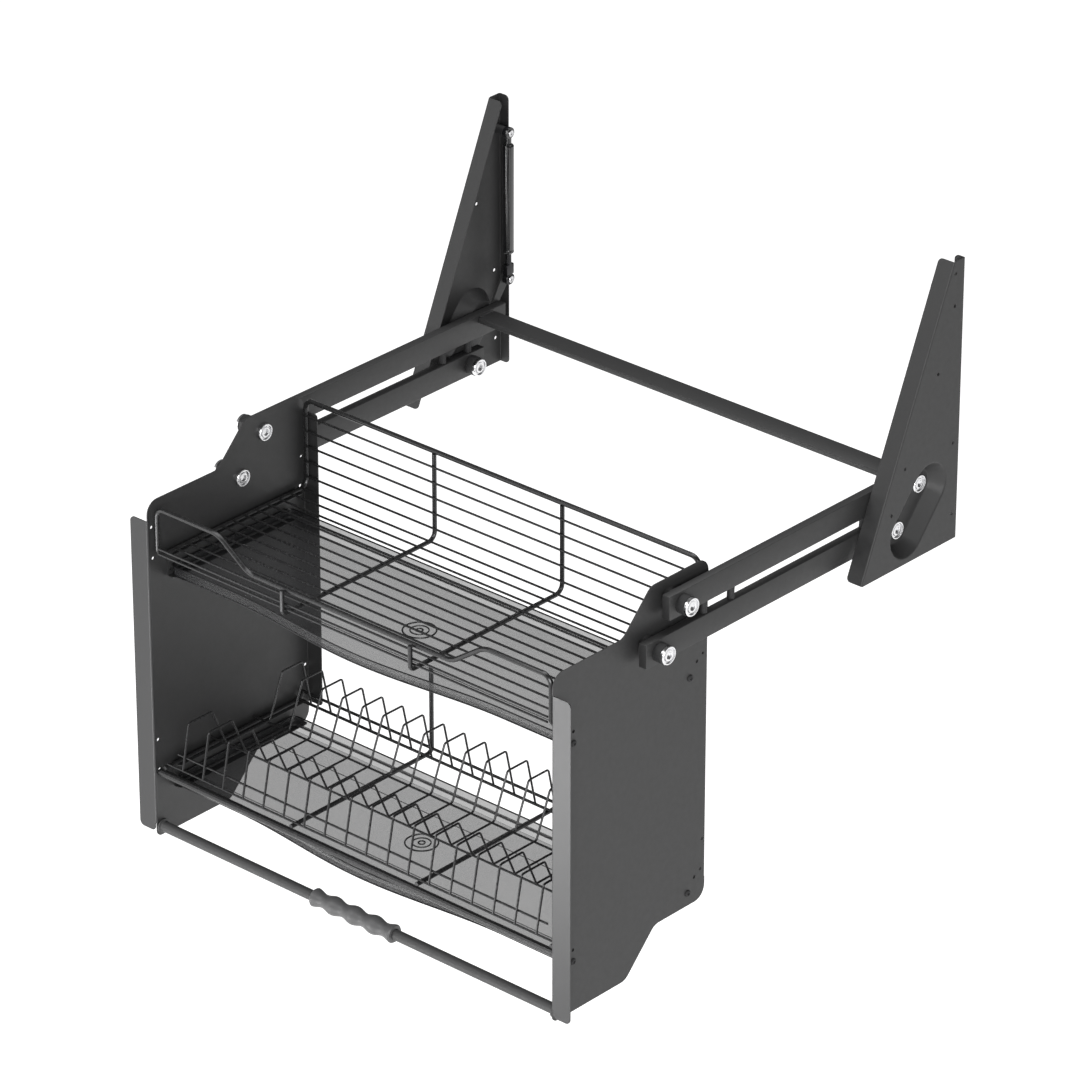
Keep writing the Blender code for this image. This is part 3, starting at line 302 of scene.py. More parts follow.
GRIP = Finish("soft_grip", "grey_grip", (0.118, 0.118, 0.120), 0.44,
              mottle=0.06, mottle_size=0.02, grain=0.0005)
SMOKE = Finish("smoky_tray", "grey_tray", (0.068, 0.068, 0.070), 0.24,
               mottle_size=0.10, alpha=0.52, roughness_swing=0.04)
WALL = Finish("smoky_tray_wall", "grey_tray", (0.038, 0.038, 0.040), 0.42,
              mottle_size=0.10, alpha=0.40, roughness_swing=0.04)
EDGE = Finish("smoky_edge", "grey_tray", (0.012, 0.012, 0.013), 0.30,
              mottle=0.10, mottle_size=0.05)


# Paths and places

LEAST_TURN = 0.001
ARC_SHARE = 0.49


def rounded(points: Iterable[Point], radius: float, closed: bool = False, steps: int = 6) -> Path:
    """Return the path through some points with an arc at each inner corner.

    Args:
        points: Corners of the path, flat or in space.
        radius: Radius of each arc, or less where two corners are close.
        closed: Whether the path ends where it starts.
        steps: Straight pieces in each arc.

    Returns:
        The points of the rounded path.
    """
    corners = [Vector(point).to_3d() for point in points]
    count = len(corners)
    path: Path = []
    for index, corner in enumerate(corners):
        if not closed and index in (0, count - 1):
            path.append(corner)
            continue
        back = corners[index - 1] - corner
        ahead = corners[(index + 1) % count] - corner
        angle = back.angle(ahead)
        if angle > math.pi - LEAST_TURN:
            path.append(corner)
            continue
        half = angle / 2
        reach = min(radius / math.tan(half), back.length * ARC_SHARE, ahead.length * ARC_SHARE)
        bisector = (back.normalized() + ahead.normalized()).normalized()
        centre = corner + bisector * (reach / math.cos(half))
        start = corner + back.normalized() * reach - centre
        end = corner + ahead.normalized() * reach - centre
        sweep = math.pi - angle
        for step in range(steps + 1):
            turn = sweep * step / steps
            path.append(centre + (start * math.sin(sweep - turn) + end * math.sin(turn))
                        / math.sin(sweep))
    return path


def arcs(points: Sequence[Point], radius: float, steps: int = 6) -> Path:
    """Return the rounded path through some points, less its two ends."""
    return rounded(points, radius, steps=steps)[1:-1]


def arc_round(centre: Point, radius: float, start: float, turn: float, steps: int) -> Path:
    """Return flat points on an arc, both ends among them.

    Args:
        centre: Its centre, of which the first two coordinates count.
        radius: Its radius.
        start: Angle at which it starts, in radians.
        turn: Angle that it covers.
        steps: Straight pieces in it.

    Returns:
        The points.
    """
    angles = [start + turn * step / steps for step in range(steps + 1)]
    return [Vector((centre[0] + radius * math.cos(angle), centre[1] + radius * math.sin(angle), 0))
            for angle in angles]


def circle(centre: Point, radius: float, count: int) -> Path:
    """Return the points of a flat circle."""
    return arc_round(centre, radius, 0, math.tau, count)[:-1]


def slot_ring(first: Point, second: Point, radius: float) -> Path:
    """Return the flat outline of a slot round two centres."""
    heading = math.atan2(first[1] - second[1], first[0] - second[0]) - math.pi / 2
    return (arc_round(first, radius, heading, math.pi, 20)
            + arc_round(second, radius, heading + math.pi, math.pi, 20))


def lifted(ring: Path, height: float) -> Path:
    """Return a flat ring at a height."""
    return [Vector((point.x, point.y, height)) for point in ring]


def across(reach: float, y: float, z: float) -> Path:
    """Return a straight path along X, as far to the left as to the right."""
    return [Vector((-reach, y, z)), Vector((reach, y, z))]


def side_frame(x: float) -> Matrix:
    """Return the matrix that stands flat (y, z) points up in the plane at x."""
    return Matrix(((0, 0, 1, x), (1, 0, 0, 0), (0, 1, 0, 0), (0, 0, 0, 1)))


def outward(side: Side, y: float, z: float) -> Matrix:
    """Return the matrix that lays a turned profile along X, its top away from the middle."""
    return Matrix.Translation((0, y, z)) @ Matrix.Rotation(side.value * math.pi / 2, 4, "Y")


# Meshes


def placed(name: str, data: bpy.types.ID) -> bpy.types.Object:
    """Make an object of the scene.

    Args:
        name: Name of the object.
        data: Mesh, curve, camera or lamp that it holds.

    Returns:
        The new object.
    """
    made = bpy.data.objects.new(name, data)
    bpy.context.scene.collection.objects.link(made)
    return made


def settled(holder: bpy.types.Object) -> bmesh.types.BMesh:
    """Take an object out of the scene.

    Args:
        holder: Object whose curve or modifiers make a mesh.

    Returns:
        That mesh.
    """
    graph = bpy.context.evaluated_depsgraph_get()
    mesh = bpy.data.meshes.new_from_object(holder.evaluated_get(graph))
    bpy.data.objects.remove(holder)
    made = bmesh.new()
    made.from_mesh(mesh)
    bpy.data.meshes.remove(mesh)
    return made


def extruded(bm: bmesh.types.BMesh, edges: list[bmesh.types.BMEdge]) -> tuple[set, list]:
    """Extrude edges without moving them yet.

    Args:
        bm: Mesh that they are in.
        edges: The edges.

    Returns:
        The new vertices, and the new edges between them.
    """
    made = bmesh.ops.extrude_edge_only(bm, edges=edges)["geom"]
    fresh = {item for item in made if isinstance(item, bmesh.types.BMVert)}
    return fresh, [item for item in made
                   if isinstance(item, bmesh.types.BMEdge) and fresh.issuperset(item.verts)]


class Shape:
    """The geometry of one piece, gathered in one mesh.

    HEAD lists the rings of a screw head from its seat inwards: the share of its radius, the
    share of its rise that it lies from the rim, and whether it is six-sided.
    """

    MERGE = 1e-6
    SHARP = math.radians(25)
    HEAD_SIDES = 48
    HEAD = ((1.0, -0.22, False), (0.94, 0.0, False), (0.83, 0.0, False), (0.77, -0.55, False),
            (0.64, -0.55, False), (0.58, -0.10, False), (0.48, -0.04, False),
            (0.3638, -0.04, True), (0.34, -0.12, True), (0.34, -0.75, True))

    def __init__(self, bm: bmesh.types.BMesh | None = None) -> None:
        """Start from a mesh, or from none."""
        self.bm = bm or bmesh.new()

    def _add(self, other: bmesh.types.BMesh, matrix: Matrix | None = None) -> Shape:
        """Take in another mesh and free it.

        Args:
            other: The mesh.
            matrix: Where it goes, if it isn't there yet.

        Returns:
            The shape itself.
        """
        if matrix is not None:
            bmesh.ops.transform(other, matrix=matrix, verts=other.verts)
        bmesh.ops.recalc_face_normals(other, faces=other.faces)
        spare = bpy.data.meshes.new("spare")
        other.to_mesh(spare)
        other.free()
        self.bm.from_mesh(spare)
        bpy.data.meshes.remove(spare)
        return self

    def tube(self, paths: Iterable[Path], radius: float, closed: bool = False,
             fineness: int = 4) -> Shape:
        """Bend round wire along each path.

        Args:
            paths: One list of points for each wire.
            radius: Radius of the wire.
            closed: Whether each path ends where it starts.
            fineness: Steps in a quarter of the wire's section.

        Returns:
            The shape itself.
        """
        curve = bpy.data.curves.new("path", "CURVE")
        curve.dimensions = "3D"
        curve.bevel_depth = radius
        curve.bevel_resolution = fineness
        curve.use_fill_caps = not closed
        for path in paths:
            spline = curve.splines.new("POLY")
            spline.points.add(len(path) - 1)
            spline.use_cyclic_u = closed
            for point, spot in zip(spline.points, path):
                point.co = (*spot, 1)
        bm = settled(placed("path", curve))
        bpy.data.curves.remove(curve)
        bmesh.ops.remove_doubles(bm, verts=bm.verts, dist=self.MERGE)
        return self._add(bm)

    def turned(self, profile: Iterable[Point], matrix: Matrix, steps: int = 40) -> Shape:
        """Turn a profile about its axis.

        Args:
            profile: Points whose first two coordinates are radius and height.
            matrix: Where the axis stands in space.
            steps: Flat sides in a full turn.

        Returns:
            The shape itself.
        """
        bm = bmesh.new()
        corners = [bm.verts.new((point[0], 0, point[1])) for point in profile]
        edges = [bm.edges.new(pair) for pair in zip(corners, corners[1:])]
        bmesh.ops.spin(bm, geom=corners + edges, cent=(0, 0, 0), axis=(0, 0, 1),
                       dvec=(0, 0, 0), angle=math.tau, steps=steps, use_merge=True)
        bmesh.ops.remove_doubles(bm, verts=bm.verts, dist=self.MERGE)
        return self._add(bm, matrix)

    def screw_head(self, radius: float, seat: float, rise: float, matrix: Matrix) -> Shape:
        """Add a round head with a raised rim, a groove and a six-sided drive socket.

        Args:
            radius: Radius of the head.
            seat: Height of its seat on the axis.
            rise: How far its rim stands over the seat, below zero where it faces down.
            matrix: Where the axis stands in space.

        Returns:
            The shape itself.
        """
        if rise < 0:
            seat, rise = -seat, -rise
            matrix = matrix @ Matrix.Rotation(math.pi, 4, "X")
        bm = bmesh.new()
        bmesh.ops.create_circle(bm, cap_ends=True, segments=self.HEAD_SIDES, radius=radius,
                                matrix=Matrix.Translation((0, 0, seat)))
        edges = bm.edges[:]
        for share, fall, six_sided in self.HEAD:
            fresh, edges = extruded(bm, edges)
            for vert in fresh:
                angle = math.atan2(vert.co.y, vert.co.x)
                reach = radius * share
                if six_sided:
                    reach /= math.cos(angle % (math.pi / 3) - math.pi / 6)
                vert.co = (reach * math.cos(angle), reach * math.sin(angle),
                           seat + (1 + fall) * rise)
        bmesh.ops.holes_fill(bm, edges=edges, sides=0)
        return self._add(bm, matrix)

    def block(self, low: Point, high: Point, edge: float) -> Shape:
        """Add a box with rounded edges.

        Args:
            low: One of its corners.
            high: The corner across from it.
            edge: Radius of its edges.

        Returns:
            The shape itself.
        """
        bm = bmesh.new()
        bmesh.ops.create_cube(bm, size=1)
        size = [abs(b - a) for a, b in zip(low, high)]
        middle = [(a + b) / 2 for a, b in zip(low, high)]
        matrix = Matrix.Translation(middle) @ Matrix.Diagonal((*size, 1))
        bmesh.ops.transform(bm, matrix=matrix, verts=bm.verts)
        bmesh.ops.bevel(bm, geom=bm.edges[:], offset=edge, segments=3, profile=0.5,
                        affect="EDGES", material=-1)
        return self._add(bm)

    def piece(self, name: str, finish: Finish, body: Body, node: str = "") -> None:
        """Finish the geometry as one piece of the scene and report it.

        Args:
            name: Name of the piece.
            finish: Finish of its surface.
            body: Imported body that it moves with.
            node: CAD node that it stands for, if it stands for one.
        """
        mesh = bpy.data.meshes.new(name)
        self.bm.to_mesh(mesh)
        self.bm.free()
        mesh.shade_smooth()
        mesh.set_sharp_from_angle(angle=self.SHARP)
        mesh.materials.append(finish.material())
        made = placed(name, mesh)
        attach(made, body)
        if node:
            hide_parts(node)
        LOG.info("%s: %d faces, on %s", name, len(mesh.polygons), body.value)


class Sheet:
    """A plate with holes whose edges are folded up, thickened at the end.

    BEND is the radius of a fold and HOLD the short flat on each side of it. The flat plate
    stops SETBACK short of a flange's middle plane.
    """

    BEND = 0.0016
    HOLD = 0.0006
    SETBACK = BEND + HOLD
    BEND_STEPS = 6
    NEAR = 1e-5
    SLACK = 0.001

    def __init__(self, outline: Sequence[Point] = (), holes: Sequence[Path] = (),
                 matrix: Matrix | None = None) -> None:
        """Fill a flat outline.

        Args:
            outline: Corners of the plate as flat points, or none for a bare dish.
            holes: Rings of flat points to leave open.
            matrix: Where the flat plate stands in space.
        """
        self.bm = bmesh.new()
        self.matrix = matrix
        if outline:
            for ring in ([Vector(point).to_3d() for point in outline], *holes):
                self._loop([matrix @ point for point in ring])
            bmesh.ops.triangle_fill(self.bm, use_beauty=True, edges=self.bm.edges[:])

    def _loop(self, points: Path) -> tuple[list, list]:
        """Draw a closed loop and return its vertices and its edges."""
        corners = [self.bm.verts.new(point) for point in points]
        return corners, [self.bm.edges.new(pair)
                         for pair in zip(corners, corners[1:] + corners[:1])]

    def _grow(self, edges: list, step: Vector) -> list:
        """Extrude edges by a step.

        Args:
            edges: The edges.
            step: How far and which way they go.

        Returns:
            The far edges.
        """
        fresh, edges = extruded(self.bm, edges)
        bmesh.ops.translate(self.bm, vec=step, verts=list(fresh))
        return edges

    def fold(self, start: Point, end: Point, way: Vector, rise: Vector, width: float,
             corner: float = 0.0) -> None:
        """Fold up a flange along the part of the outline between two flat points.

        Args:
            start: First end of the fold, as a flat point on the outline.
            end: Other end of the fold.
            way: Direction in the plate's plane from the plate to the flange.
            rise: Direction in which the flange stands.
            width: Width of the flange from the plate's middle plane.
            corner: Radius of the flange's two free corners.
        """
        first = self.matrix @ Vector(start).to_3d()
        line = (self.matrix @ Vector(end).to_3d()) - first
        edges = []
        for edge in self.bm.edges:
            offsets = [vert.co - first for vert in edge.verts]
            shares = [offset.dot(line) / line.length_squared for offset in offsets]
            apart = [(offset - line * share).length for offset, share in zip(offsets, shares)]
            if (edge.is_boundary and max(apart) < self.NEAR
                    and min(shares) > -self.SLACK and max(shares) < 1 + self.SLACK):
                edges.append(edge)
        edges = self._grow(edges, way * self.HOLD)
        centre = edges[0].verts[0].co + rise * self.BEND
        spun = bmesh.ops.spin(self.bm, geom=edges, cent=centre, axis=way.cross(rise),
                              dvec=(0, 0, 0), angle=math.pi / 2, steps=self.BEND_STEPS,
                              use_duplicate=False)
        edges = [item for item in spun["geom_last"] if isinstance(item, bmesh.types.BMEdge)]
        edges = self._grow(edges, rise * self.HOLD)
        edges = self._grow(edges, rise * (width - self.SETBACK))
        if corner:
            tips = {vert for edge in edges for vert in edge.verts if len(vert.link_faces) == 1}
            bmesh.ops.bevel(self.bm, geom=list(tips), offset=corner, segments=6, profile=0.5,
                            affect="VERTICES", material=-1)

    def dish(self, rings: Sequence[Path], floor_holes: Sequence[Path] | None = None) -> None:
        """Press a dish whose rings of points run from the plate's hole to its floor.

        Args:
            rings: Rings of points, with as many points in each.
            floor_holes: Holes of the floor, or None to leave the floor out.
        """
        corners, edges = self._loop(rings[0])
        for ring in rings[1:]:
            fresh, edges = extruded(self.bm, edges)
            corners = [next(edge.other_vert(corner) for edge in corner.link_edges
                            if edge.other_vert(corner) in fresh) for corner in corners]
            for corner, spot in zip(corners, ring):
                corner.co = spot
        if floor_holes is None:
            return
        for ring in floor_holes:
            edges += self._loop(ring)[1]
        bmesh.ops.triangle_fill(self.bm, use_beauty=True, edges=edges)

    def thicken(self, thickness: float) -> Shape:
        """Give the sheet its thickness.

        Args:
            thickness: How thick it is, half to each side of its middle plane.

        Returns:
            The sheet as a shape.
        """
        bmesh.ops.remove_doubles(self.bm, verts=self.bm.verts, dist=Shape.MERGE)
        bmesh.ops.recalc_face_normals(self.bm, faces=self.bm.faces)
        mesh = bpy.data.meshes.new("sheet")
        self.bm.to_mesh(mesh)
        self.bm.free()
        holder = placed("sheet", mesh)
        wall = holder.modifiers.new("wall", "SOLIDIFY")
        wall.thickness = thickness
        wall.offset = 0
        wall.use_even_offset = True
        made = Shape(settled(holder))
        bpy.data.meshes.remove(mesh)
        return made


# Sizes that pieces share

STEEL = 0.0015
SEAT = 0.0003
WELD = 0.0006
HOUSING_X = 0.382
POCKET_X = 0.363
ARM_X = (0.344, 0.356)
ARM_LENGTH = 0.434
ARM_HEIGHT = 0.032
PANEL_X = (0.3345, 0.336)
SHAFT = 0.005
SHAFT_HOLE = 0.0053
SLEEVE = 0.0125
SLEEVE_BORE = 0.0054


@dataclass
class SidePart:
    """A sub-assembly of one side, whose pieces and nodes are named for it."""

    side: Side

    @property
    def sign(self) -> int:
        """Return -1 on the left and 1 on the right."""
        return self.side.value

    def body(self, stem: str) -> Body:
        """Return this side's body, where each side has one."""
        return Body(f"{stem}_{self.side.word[0]}")

    def stood(self, ring: Path, x: float) -> Path:
        """Return a flat ring stood up at a distance from the middle plane."""
        return [side_frame(self.sign * x) @ point for point in ring]

    def dress(self, shape: Shape, name: str, finish: Finish, body: Body, node: str = "") -> None:
        """Finish a shape as a piece whose name, and its node's, end in the side.

        Args:
            shape: The shape.
            name: Name of the piece without the side.
            finish: Finish of its surface.
            body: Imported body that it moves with.
            node: CAD node that it stands for, if any, without the side.
        """
        word = self.side.word
        shape.piece(f"{name}_{word}", finish, body, node and f"{node}_{word}")


@dataclass
class Housing(SidePart):
    """One folded wall housing with its pressed pivot pocket and its screw holes."""

    height: float = 0.380
    top_depth: float = 0.021
    bottom_depth: float = 0.1855
    front_flange: float = 0.0232
    rear_flange: float = 0.0152
    flange_corner: float = 0.006
    pocket_rim: float = 0.0325
    pocket_foot: float = 0.020
    pocket_bend: float = 0.0035
    mouth_share: float = 0.6
    foot_margin: float = 0.006
    screw_hole: float = 0.0025
    screws: tuple = ((-0.0185, 0.364), (-0.018, 0.321), (-0.0125, 0.134), (-0.0105, 0.036),
                     (-0.046, 0.239), (-0.106, 0.132), (-0.130, 0.077))

    def build(self) -> None:
        """Fold the sheet and press its pocket."""
        web = HOUSING_X - STEEL / 2
        low = Vector((-self.bottom_depth, 0))
        high = Vector((-self.top_depth, self.height))
        slope = (high - low).normalized()
        ahead = Vector((-slope.y, slope.x))
        shift = ahead * -Sheet.SETBACK
        start = low + shift - slope * ((low + shift).y / slope.y)
        end = high + shift
        rear = -STEEL / 2 - Sheet.SETBACK
        outline = [start, (rear, 0), (rear, self.height), (end.x + Sheet.HOLD, self.height), end]
        pivots = [arm.value for arm in Arm]
        mouth = self.pocket_rim + self.pocket_bend * self.mouth_share + Sheet.HOLD
        holes = [circle(spot, self.screw_hole, 16) for spot in self.screws]
        sheet = Sheet(outline, [*holes, slot_ring(*pivots, mouth)], side_frame(self.sign * web))
        lift = Vector((-self.sign, 0, 0))
        sheet.fold(start, end, Vector((0, ahead.x, ahead.y)), lift, self.front_flange,
                   self.flange_corner)
        sheet.fold((rear, 0), (rear, self.height), Vector((0, 1, 0)), lift, self.rear_flange,
                   self.flange_corner)
        floor = POCKET_X - STEEL / 2
        section = rounded([(mouth, web), (self.pocket_rim, web), (self.pocket_foot, floor),
                           (self.pocket_foot - self.foot_margin, floor)], self.pocket_bend, steps=5)
        sheet.dish([self.stood(slot_ring(*pivots, point.x), point.y) for point in section],
                   [self.stood(circle(spot, SHAFT_HOLE, 24), floor) for spot in pivots])
        self.dress(sheet.thicken(STEEL), "housing_sheet", COATED, Body.WALL, "housing")


@dataclass
class Linkage(SidePart):
    """The arms, lever, buffers, pins and bolts of one side.

    The buffers are given by their distance from the upper rear pivot, and the lever's foot by
    its rear and front and by its bottom and top.
    """

    rear_overhang: float = 0.026
    front_overhang: float = 0.0225
    arm_edge: float = 0.0010
    collar: float = 0.009
    pin_head: float = 0.0118
    bolt_head: float = 0.0121
    nut: float = 0.0115
    head_rise: float = 0.004
    inner_head_rise: float = 0.0042
    bare_end: float = 0.003
    bolt_sunk: float = 0.001
    bolt_through: float = 0.002
    soft: float = 0.0008
    buffer: float = 0.005
    buffer_waist: float = 0.0046
    buffers: tuple = (0.041, 0.089, 0.338, 0.388)
    lever_sheet: float = 0.003
    lever_foot: tuple = ((-0.046, -0.033), (0.075, 0.100))
    lever_eye: float = 0.008
    lever_hole: float = 0.0033

    def build(self) -> None:
        """Build every piece of the side's linkage."""
        for arm in Arm:
            self._arm(arm)
            self._rear_pin(arm)
            self._front_bolt(arm)
        self._sleeve(Arm.LOWER.value, ARM_X[0] - SLEEVE, "rear_sleeve", Body.WALL,
                     "rear_pivot_sleeve")
        for number, distance in enumerate(self.buffers, start=1):
            self._buffer(number, distance)
        self._lever()

    def _arm(self, arm: Arm) -> None:
        """Build one arm as a bar with softly rounded edges.

        Args:
            arm: Which of the two.
        """
        y, z = arm.value
        half = ARM_HEIGHT / 2
        shape = Shape().block(
            (self.sign * ARM_X[0], y - ARM_LENGTH - self.front_overhang, z - half),
            (self.sign * ARM_X[1], y + self.rear_overhang, z + half), self.arm_edge)
        body = Body.ARMS if arm is Arm.UPPER else self.body("lower_arm")
        self.dress(shape, f"{arm.word}_bar", COATED, body, f"{arm.word}_arm")

    def _rear_pin(self, arm: Arm) -> None:
        """Build the riveted pin in the housing's pocket, with its two heads or its bare end.

        Args:
            arm: Which of the two.
        """
        matrix = outward(self.side, *arm.value)
        inner = POCKET_X - STEEL - SEAT
        face = ARM_X[1] + SEAT
        profile = [(SHAFT, POCKET_X + STEEL), (SHAFT, inner), (self.collar, inner),
                   (self.collar, face), (SHAFT, face)]
        shape = Shape()
        if arm is Arm.LOWER:
            end = ARM_X[0] - SLEEVE - SEAT
            profile += [(SHAFT, end)]
            shape.screw_head(self.pin_head, end, -self.inner_head_rise, matrix)
        else:
            end = ARM_X[0] + self.bare_end
            profile += [(SHAFT, end), (0, end)]
        shape.turned(profile, matrix)
        shape.screw_head(self.pin_head, POCKET_X + SEAT, self.head_rise, matrix)
        self.dress(shape, f"{arm.word}_rear_pin", ZINC, Body.WALL, f"{arm.word}_pivot_pin")

    def _sleeve(self, pivot: Point, inner: float, name: str, body: Body, node: str) -> None:
        """Build a spacer sleeve with softened rims.

        Args:
            pivot: Place of its axis.
            inner: Distance of its inner end from the middle plane.
            name: Name of the piece without the side.
            body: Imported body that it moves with.
            node: CAD node that it stands for, without the side.
        """
        low, high = inner + SEAT, inner + SLEEVE - SEAT
        section = rounded([(SLEEVE_BORE, high), (SLEEVE, high), (SLEEVE, low),
                           (SLEEVE_BORE, low), (SLEEVE_BORE, high)], self.soft, steps=3)
        self.dress(Shape().turned(section, outward(self.side, *pivot)), name, RUBBER, body, node)

    def _front_bolt(self, arm: Arm) -> None:
        """Build the bolt, sleeve and cap nut that hang a panel on an arm.

        Args:
            arm: Which of the two.
        """
        matrix = outward(self.side, *arm.front)
        word = arm.word
        self._sleeve(arm.front, ARM_X[1], f"{word}_front_sleeve", Body.CARRIAGE,
                     f"{word}_pivot_sleeve")
        seat = ARM_X[1] + SLEEVE + SEAT
        end = PANEL_X[0] - self.bolt_through
        bolt = Shape().turned([(SHAFT, seat + self.bolt_sunk), (SHAFT, end), (0, end)], matrix)
        bolt.screw_head(self.bolt_head, seat, self.head_rise, matrix)
        self.dress(bolt, f"{word}_front_bolt", ZINC, Body.CARRIAGE, f"{word}_pivot_bolt")
        nut = Shape().screw_head(self.nut, PANEL_X[0] - SEAT, -self.head_rise, matrix)
        self.dress(nut, f"{word}_cap_nut", ZINC, Body.CARRIAGE, f"{word}_pivot_nut")

    def _buffer(self, number: int, distance: float) -> None:
        """Build one rubber stop between the arms, waisted a little.

        Args:
            number: Which one it is, from the rear.
            distance: How far it stands from the upper rear pivot.
        """
        y, z = Arm.UPPER.value
        top = z - ARM_HEIGHT / 2 - SEAT
        bottom = Arm.LOWER.value[1] + ARM_HEIGHT / 2 + SEAT
        section = rounded([(0, top), (self.buffer, top), (self.buffer_waist, (top + bottom) / 2),
                           (self.buffer, bottom), (0, bottom)], self.soft, steps=3)
        spot = Matrix.Translation((self.sign * sum(ARM_X) / 2, y - distance, 0))
        word = self.side.word
        Shape().turned(section, spot).piece(
            f"buffer_{word}_{number}", RUBBER, Body.ARMS, f"stop_buffer_{word}_{number}")

    def _lever(self) -> None:
        """Build the plate lever that works the gas strut."""
        (rear, front), (foot, top) = self.lever_foot
        eye = Vector(GasStrut.foot)
        lean = math.atan2(eye.y - foot, eye.x - rear)
        outline = [(rear, top), (rear, foot), (front, foot), (front, top),
                   *arc_round(eye, self.lever_eye, lean - math.pi / 2, math.pi, 12)]
        x = ARM_X[1] + SEAT + self.lever_sheet / 2
        sheet = Sheet(outline, [circle(eye, self.lever_hole, 20)], side_frame(self.sign * x))
        self.dress(sheet.thicken(self.lever_sheet), "lever_plate", COATED, Body.ARMS, "strut_lever")


@dataclass
class GasStrut(SidePart):
    """One gas strut with its upper pin and lower screw.

    The tube starts and ends so far below the upper pin. Its neck is a radius and how far
    below the pin it starts, its nose and its tail are radii and heights over the two ends, and
    the rod's end fitting is half its depth and its bottom and top over the lower screw.
    """

    x: float = 0.352
    top: tuple = (-0.0165, 0.338)
    foot: tuple = (-0.017, 0.1325)
    tube: tuple = (0.016, 0.1685)
    neck: tuple = (0.0042, 0.004)
    nose: tuple = ((0.0042, 0.002), (0.0052, 0), (0.0066, -0.0006), (0.0075, -0.0022))
    tail: tuple = ((0.0075, 0.006), (0.0072, 0.005), (0.0075, 0.004), (0.0075, 0.0012),
                   (0.0066, 0), (0.0046, 0), (0.0046, 0.012), (0, 0.012))
    rod: float = 0.004
    rod_inside: float = 0.045
    rod_short: float = 0.007
    eye: float = 0.0078
    eye_bore: float = 0.0034
    eye_half: float = 0.0039
    eye_room: float = 0.004
    eye_edge: float = 0.0007
    fitting: tuple = (0.0068, 0.0066, 0.0212)
    fitting_edge: float = 0.0009
    screw: float = 0.003
    screw_head: float = 0.0045
    screw_rise: float = 0.0015
    shoulder: float = 0.006

    def build(self) -> None:
        """Build the strut's pieces."""
        y, z = self.foot
        run = Vector((y - self.top[0], z - self.top[1]))
        matrix = (Matrix.Translation((self.sign * self.x, *self.top))
                  @ Matrix.Rotation(math.atan2(run.x, -run.y), 4, "X"))
        self._tube(matrix)
        start, end = self.rod_inside - self.tube[1], self.rod_short - run.length
        rod = Shape().turned([(0, start), (self.rod, start), (self.rod, end), (0, end)], matrix)
        half_depth, low, high = self.fitting
        rod.block((self.sign * (self.x - self.eye_half), y - half_depth, z + low),
                  (self.sign * (self.x + self.eye_half), y + half_depth, z + high),
                  self.fitting_edge)
        self._eye(rod, run.length, matrix)
        self.dress(rod, "strut_piston", CHROME_ROD, self.body("strut_rod"), "strut_rod")
        self._upper_pin()
        self._lower_screw()

    def _tube(self, matrix: Matrix) -> None:
        """Build the tube, with its neck, its rolled groove and the mouth for the rod.

        Args:
            matrix: Where the strut's axis stands in space.
        """
        radius, under_pin = self.neck
        section = [(0, -under_pin), (radius, -under_pin)]
        for reach, part in zip(self.tube, (self.nose, self.tail)):
            section += [(wide, height - reach) for wide, height in part]
        tube = Shape().turned(section, matrix, 48)
        self._eye(tube, 0.0, matrix)
        self.dress(tube, "strut_cylinder", GLOSS, self.body("strut_tube"), "strut_tube")

    def _eye(self, shape: Shape, drop: float, matrix: Matrix) -> None:
        """Add a flat eye ring across the strut's axis.

        Args:
            shape: Shape that it belongs to.
            drop: How far down the axis it is.
            matrix: Where the axis stands in space.
        """
        half, bore = self.eye_half, self.eye_bore
        section = rounded([(bore, half), (self.eye, half), (self.eye, -half), (bore, -half),
                           (bore, half)], self.eye_edge, steps=3)
        turn = Matrix.Translation((0, 0, -drop)) @ Matrix.Rotation(math.pi / 2, 4, "Y")
        shape.turned(section, matrix @ turn)

    def _bright_screw(self, spot: Point, outer: float) -> Shape:
        """Return a screw through an eye, from its outer end to its inner head.

        Args:
            spot: Place of its axis.
            outer: Distance of its outer end from the middle plane.

        Returns:
            The screw as a shape.
        """
        matrix = outward(self.side, *spot)
        seat = self.x - self.eye_room - SEAT
        shape = Shape().screw_head(self.screw_head, seat, -self.screw_rise, matrix)
        return shape.turned([(0, outer), (self.screw, outer), (self.screw, seat)], matrix)

    def _upper_pin(self) -> None:
        """Build the pin and the dark shoulder that hang the strut in the housing."""
        wall = HOUSING_X - STEEL - SEAT
        inner = self.x + self.eye_room + SEAT
        profile = [(self.screw, wall), (self.shoulder, wall), (self.shoulder, inner),
                   (self.screw, inner)]
        shoulder = Shape().turned(profile, outward(self.side, *self.top))
        self.dress(shoulder, "strut_shoulder", RUBBER, Body.WALL)
        self.dress(self._bright_screw(self.top, wall), "upper_strut_pin", ZINC, Body.WALL,
                   "strut_upper_pin")

    def _lower_screw(self) -> None:
        """Build the screw that joins the strut to its lever."""
        self.dress(self._bright_screw(self.foot, self.x + self.eye_room), "lower_strut_screw",
                   ZINC, self.body("strut_rod"), "strut_lower_screw")


